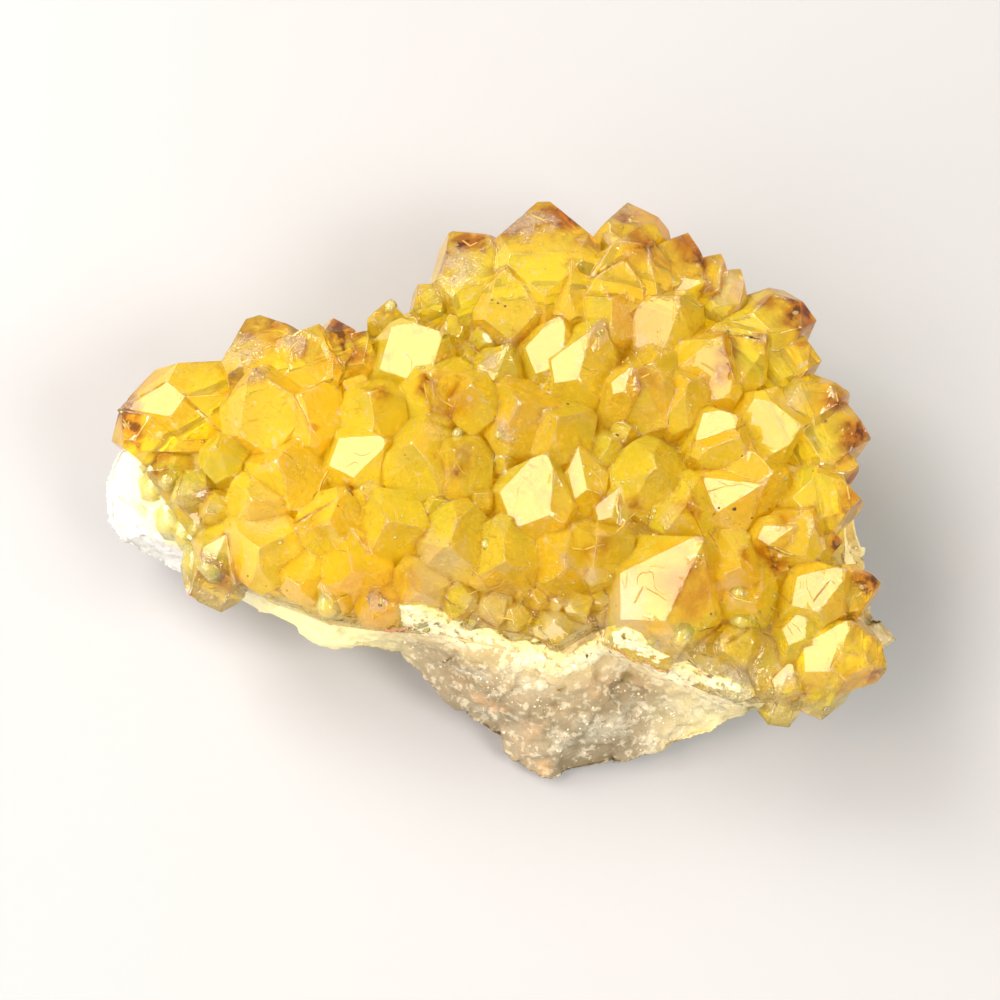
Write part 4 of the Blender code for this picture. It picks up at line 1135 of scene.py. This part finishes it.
rng = np.random.default_rng(21)
middles, _, kinds = landed(LATE_MARKS, *STONES)
axes, sideways = to_window(kinds[:, 1])
grown = quartz_points(middles, axes, sideways, kinds[:, 0], np.full(len(kinds), -0.3), rng)
middles, facings, kinds = landed(SHOULDER_MARKS, *STONES)
axes, sideways = any_way(facings + (-0.3, -0.1, 0.5), 0.30, rng)
beside = quartz_points(middles, axes, sideways, kinds[:, 0], np.full(len(kinds), -0.55), rng)
flake_marks = strewn(FLAKE_CLUSTERS, lambda count: rng)
middles, facings, _ = landed(flake_marks, *STONES)
radii = FLAKE_LIMITS[0] * (FLAKE_LIMITS[1] / FLAKE_LIMITS[0]) ** rng.random(len(middles))
lit_axes, lit_sideways = to_window(rng.uniform(0, 360, len(middles)))
other_axes, other_sideways = any_way(facings, 0.6, rng)
lit = (rng.random(len(middles)) < LIT_SHARE)[:, None]
axes, sideways = np.where(lit, lit_axes, other_axes), np.where(lit, lit_sideways, other_sideways)
flakes = quartz_points(middles, axes, sideways, radii, np.full(len(radii), 0.1), rng)
late = surface("late_points", *joined([grown, beside, flakes]))
clear_quartz, b, shader, place = new_material("clear quartz")
clouds = b.group(growth_clouds, place, 700.0)
b.put(shader.inputs["Base Color"], b.mix(clouds["Cloud"], (1.0, 0.86, 0.18, 1), (1.0, 0.94, 0.42, 1)))
b.put(shader.inputs["Roughness"], b.math("ADD", 0.05, b.math("MULTIPLY", clouds["Feather"], 0.3)))
shader.inputs["IOR"].default_value = QUARTZ_INDEX
shader.inputs["Transmission Weight"].default_value = 0.72
late.data.materials.append(clear_quartz)
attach(late, "root")

# ---- Sugary ledge -------------------------------------------------------------------------------
# Where the crust's front edge broke off the matrix, its roots are left as a band of cream quartz,
# broken into sugary chips with glassy faces that glint one by one, and below it a few loose-looking
# grains are grown fast to the fracture.
LEDGE_SIGHTS = (44, 7)  # how many places along and across the band are sighted on the stone
LEDGE_STEPS = (400, 44)  # and how many steps the broken surface has
LEDGE_SMOOTHINGS = 2  # each sighted place is drawn toward its neighbours this many times
LEDGE_LIFT = 0.48 * MM  # how far the band stands off the stone
LEDGE_SINK = 0.60 * MM  # how far its edges run into it
LEDGE_DEPTH = 1.3 * MM  # and how far down its underside lies
GRAIN_LIMITS = (0.05, 0.17)  # radius, millimetres
# The band's upper and lower edge, across and down the frame.
BAND_TOP = (
    (392, 604), (416, 596), (440, 606), (462, 616), (496, 624), (530, 634), (548, 642), (562, 652),
    (582, 640), (606, 626), (626, 622), (644, 630), (662, 650), (700, 664), (732, 674), (756, 692),
)
BAND_FOOT = (
    (396, 632), (424, 642), (450, 654), (475, 666), (505, 676), (535, 684), (560, 688), (575, 680),
    (594, 668), (610, 660), (626, 668), (648, 680), (670, 690), (700, 702), (720, 708), (748, 708),
)
# Patches of glinting grains on the fracture: across, down, spread in steps, how many.
GRAIN_PATCHES = (
    (445, 660, 12, 16), (470, 676, 14, 22), (500, 690, 16, 20), (540, 700, 14, 16), (487, 714, 10, 10),
    (565, 744, 10, 8), (600, 732, 22, 26), (640, 712, 16, 16), (672, 708, 14, 14), (690, 712, 20, 20),
    (718, 709, 14, 12), (650, 742, 12, 8), (690, 730, 16, 10), (585, 712, 14, 8), (620, 685, 14, 12),
    (862, 520, 12, 12), (856, 545, 10, 8), (420, 650, 16, 12), (520, 720, 20, 8), (300, 626, 30, 14),
)


def along_line(bends, count):
    """That many places along a line of bends, with as many between each two."""
    at, steps = np.linspace(0, 1, count), np.linspace(0, 1, len(bends))
    return np.stack([np.interp(at, steps, [bend[k] for bend in bends]) for k in range(2)], axis=1)


def between(lattice, rows, columns):
    """A finer grid on the sheet through a lattice of points, linear from each one to the next."""
    n, m = lattice.shape[:2]
    u, v = np.linspace(0, n - 1, rows), np.linspace(0, m - 1, columns)
    i, j = np.minimum(u.astype(int), n - 2), np.minimum(v.astype(int), m - 2)
    fu, fv = (u - i)[:, None, None], (v - j)[None, :, None]
    low = lattice[i][:, j] * (1 - fv) + lattice[i][:, j + 1] * fv
    high = lattice[i + 1][:, j] * (1 - fv) + lattice[i + 1][:, j + 1] * fv
    return low * (1 - fu) + high * fu


def closed_band(top, under):
    """A closed shell from two grids of the same size: each step along is one ring, over the top
    grid and back along the under one, and the first and last rings are closed by fans."""
    rings = np.concatenate([top, under[:, ::-1]], axis=1)
    count, around = rings.shape[:2]
    ends = np.stack([rings[0].mean(axis=0), rings[-1].mean(axis=0)])
    hub = count * around
    start, finish = turned(fan(hub, 0, around)), fan(hub + 1, hub - around, around)
    faces = np.concatenate([turned(ring_sides(count, around)), start, finish])
    return np.concatenate([rings.reshape(-1, 3), ends]), faces


upper, lower = along_line(BAND_TOP, LEDGE_SIGHTS[0]), along_line(BAND_FOOT, LEDGE_SIGHTS[0])
share = np.linspace(0, 1, LEDGE_SIGHTS[1])[None, :, None]
sights = upper[:, None] * (1 - share) + lower[:, None] * share
sheet, _, _ = landed([tuple(sight) for sight in sights.reshape(-1, 2)], *STONES)
sheet = sheet.reshape(*LEDGE_SIGHTS, 3)
for _ in range(LEDGE_SMOOTHINGS):
    padded = np.pad(sheet, ((1, 1), (1, 1), (0, 0)), mode="edge")
    beside = padded[2:, 1:-1] + padded[:-2, 1:-1] + padded[1:-1, 2:] + padded[1:-1, :-2]
    sheet = (beside + 2 * padded[1:-1, 1:-1]) / 6
grid = between(sheet, *LEDGE_STEPS)
flat = grid.reshape(-1, 3)
u, v = np.meshgrid(*(np.linspace(0, 1, count) for count in LEDGE_STEPS), indexing="ij")
stray = 0.15 * layered_noise(flat, 2.2 * MM, 501, 3).reshape(LEDGE_STEPS)
edge = smooth_step(0.02, 0.24, v + stray) * smooth_step(1.0, 0.66, v + stray)
edge = edge * smooth_step(0.0, 0.05, u) * smooth_step(1.0, 0.95, u)
broken = chips(flat, 1.3 * MM, 511, 1.6) * 0.30 * MM + chips(flat, 0.6 * MM, 521, 1.8) * 0.13 * MM
broken = (broken + layered_noise(flat, 3.0 * MM, 531, 2) * 0.3 * MM).reshape(LEDGE_STEPS)
lift = edge * (LEDGE_LIFT + broken) - LEDGE_SINK * (1 - edge)
top = grid + np.array(to_eye) * lift[..., None]
points, faces = closed_band(top, grid - np.array(to_eye) * LEDGE_DEPTH)
# how far down the band each point lies: both grids, then the middles of its two ends
down_band = np.concatenate([np.concatenate([v, v[:, ::-1]], axis=1).ravel(), [0.5, 0.5]])
# patches of the same count scatter alike
grain_marks = strewn(GRAIN_PATCHES, lambda count: np.random.default_rng(33 + count))
rng = np.random.default_rng(33)
middles, facings, _ = landed(grain_marks, "matrix_rock")
radii = GRAIN_LIMITS[0] * (GRAIN_LIMITS[1] / GRAIN_LIMITS[0]) ** (rng.random(len(middles)) ** 1.4)
axes, sideways = any_way(facings, 0.7, rng)
grain_points, grain_faces = quartz_points(middles, axes, sideways, radii, np.full(len(radii), -0.35), rng)
# the loose grains count as the foot of the band
sugar = surface("sugary_ledge", *joined([(points, faces), (grain_points, grain_faces)]))
down_band = np.concatenate([down_band, np.ones(len(grain_points))])
loose = np.concatenate([np.zeros(len(points)), np.ones(len(grain_points))])
paint(sugar, "band", down_band, loose)
cream_quartz, b, shader, place = new_material("cream quartz")
down, loose_grain, _ = b.parts("band")
clouds = b.group(growth_clouds, place, 420.0)
grain = b.group(broken_grain, place, 1500.0)
cream = b.mix(clouds["Cloud"], (0.96, 0.82, 0.42, 1), (1.0, 0.92, 0.62, 1))
cream = b.wash(cream, grain["Grain"], 0.3, (0.86, 0.70, 0.38, 1))
cream = b.mix(b.span(down, 0.45, 0.15, 0.0, 0.42), cream, (1.0, 0.78, 0.17, 1))
cream = b.mix(b.span(down, 0.55, 0.95, 0.0, 0.8), cream, (0.72, 0.59, 0.36, 1))
cream = b.wash(cream, loose_grain, 0.8, (0.88, 0.78, 0.58, 1))
cream = b.wash(cream, clouds["Feather"], 0.35, (0.62, 0.38, 0.14, 1))
b.put(shader.inputs["Base Color"], cream)
b.put(shader.inputs["Roughness"], b.span(grain["Grain"], 0.0, 1.0, 0.12, 0.36))
b.relief(shader, grain["Height"], 0.3 * MM)
shader.inputs["IOR"].default_value = QUARTZ_INDEX
sugar.data.materials.append(cream_quartz)
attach(sugar, "root")

# ---- Bench, window and room ---------------------------------------------------------------------
# The specimen lies on a plain pale board. One soft window stands high on its left, where the faces
# turned that way throw it at the eye, and three soft fills and the pale room light the rest.
FLOOR_REACH = 1.6
FLOOR_CELLS = 8
LIGHT_DISTANCE = 0.6
LIGHT_AIM = Vector((0.0, 0.0, 0.02))
WINDOW_SIZE = 0.30
WINDOW_GLOW = 8.0
WINDOW_COLOUR = (1.0, 0.82, 0.76)
FILL_COLOUR = (1.0, 0.98, 0.94)
# Each fill: its compass way from +X and its height over the bench in degrees, its size, its glow.
FILLS = {
    "back_fill": (135.0, 42.0, 0.30, 15.0),
    "front_fill": (215.0, 32.0, 0.40, 4.0),
    "side_fill": (338.0, 48.0, 0.26, 12.0),
}
ROOM_COLOUR = (0.97, 0.98, 1.0, 1.0)
ROOM_GLOW = 0.45

span = np.linspace(-1.0, 1.0, FLOOR_CELLS + 1) * FLOOR_REACH
gx, gy = np.meshgrid(span, span, indexing="ij")
board_points = np.stack([gx.ravel(), gy.ravel(), np.zeros(gx.size)], axis=1)
i, j = np.meshgrid(np.arange(FLOOR_CELLS), np.arange(FLOOR_CELLS), indexing="ij")
row = FLOOR_CELLS + 1
corner = (i * row + j).ravel()
board_cells = np.stack([corner, corner + row, corner + row + 1, corner + 1], axis=1)
board = surface("bench_board", board_points, board_cells)
board_paint, b, shader, place = new_material("pale board")
uneven = b.span(b.noise(place, 6.0, 1.0), 0.3, 0.7)
b.put(shader.inputs["Base Color"], b.mix(uneven, (0.395, 0.39, 0.385, 1), (0.415, 0.41, 0.405, 1)))
shader.inputs["Roughness"].default_value = 0.75
board.data.materials.append(board_paint)
board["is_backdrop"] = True


def soft_light(name, direction, size, glow, colour):
    """A square diffuser at that direction from the specimen, facing it. Its power is its glow times
    pi times its area."""
    lamp = bpy.data.lights.new(name, "AREA")
    lamp.shape = "SQUARE"
    lamp.size = size
    lamp.energy = glow * math.pi * size**2
    lamp.color = colour
    lit = bpy.data.objects.new(name, lamp)
    lit.location = LIGHT_AIM + direction * LIGHT_DISTANCE
    lit.rotation_euler = (-direction).to_track_quat("-Z", "Y").to_euler()
    bpy.context.scene.collection.objects.link(lit)


def compass(toward_degrees, height_degrees):
    """The direction at that compass way from +X and that height above the bench."""
    a, h = math.radians(toward_degrees), math.radians(height_degrees)
    return Vector((math.cos(a) * math.cos(h), math.sin(a) * math.cos(h), math.sin(h)))


# the way to the window is the way to the eye, thrown back by those faces
facing = Vector(WINDOW_FACING)
toward_window = 2 * facing.dot(to_eye) * facing - to_eye
soft_light("window", toward_window, WINDOW_SIZE, WINDOW_GLOW, WINDOW_COLOUR)
for name, (toward, height, size, glow) in FILLS.items():
    soft_light(name, compass(toward, height), size, glow, FILL_COLOUR)

room = bpy.data.worlds.new("room")
bpy.context.scene.world = room
room.use_nodes = True
room.node_tree.nodes["Background"].inputs[0].default_value = ROOM_COLOUR
room.node_tree.nodes["Background"].inputs[1].default_value = ROOM_GLOW

bpy.context.scene.view_settings.view_transform = "Standard"
cycles = bpy.context.scene.cycles
cycles.use_denoising = True
cycles.max_bounces = 6
cycles.transmission_bounces = 6
cycles.glossy_bounces = 2
cycles.diffuse_bounces = 2
cycles.sample_clamp_indirect = 4.0

for key, value in (("cad", cad_box), ("visual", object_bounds())):
    print(key, [[round(float(n), 5) for n in c] for c in value])
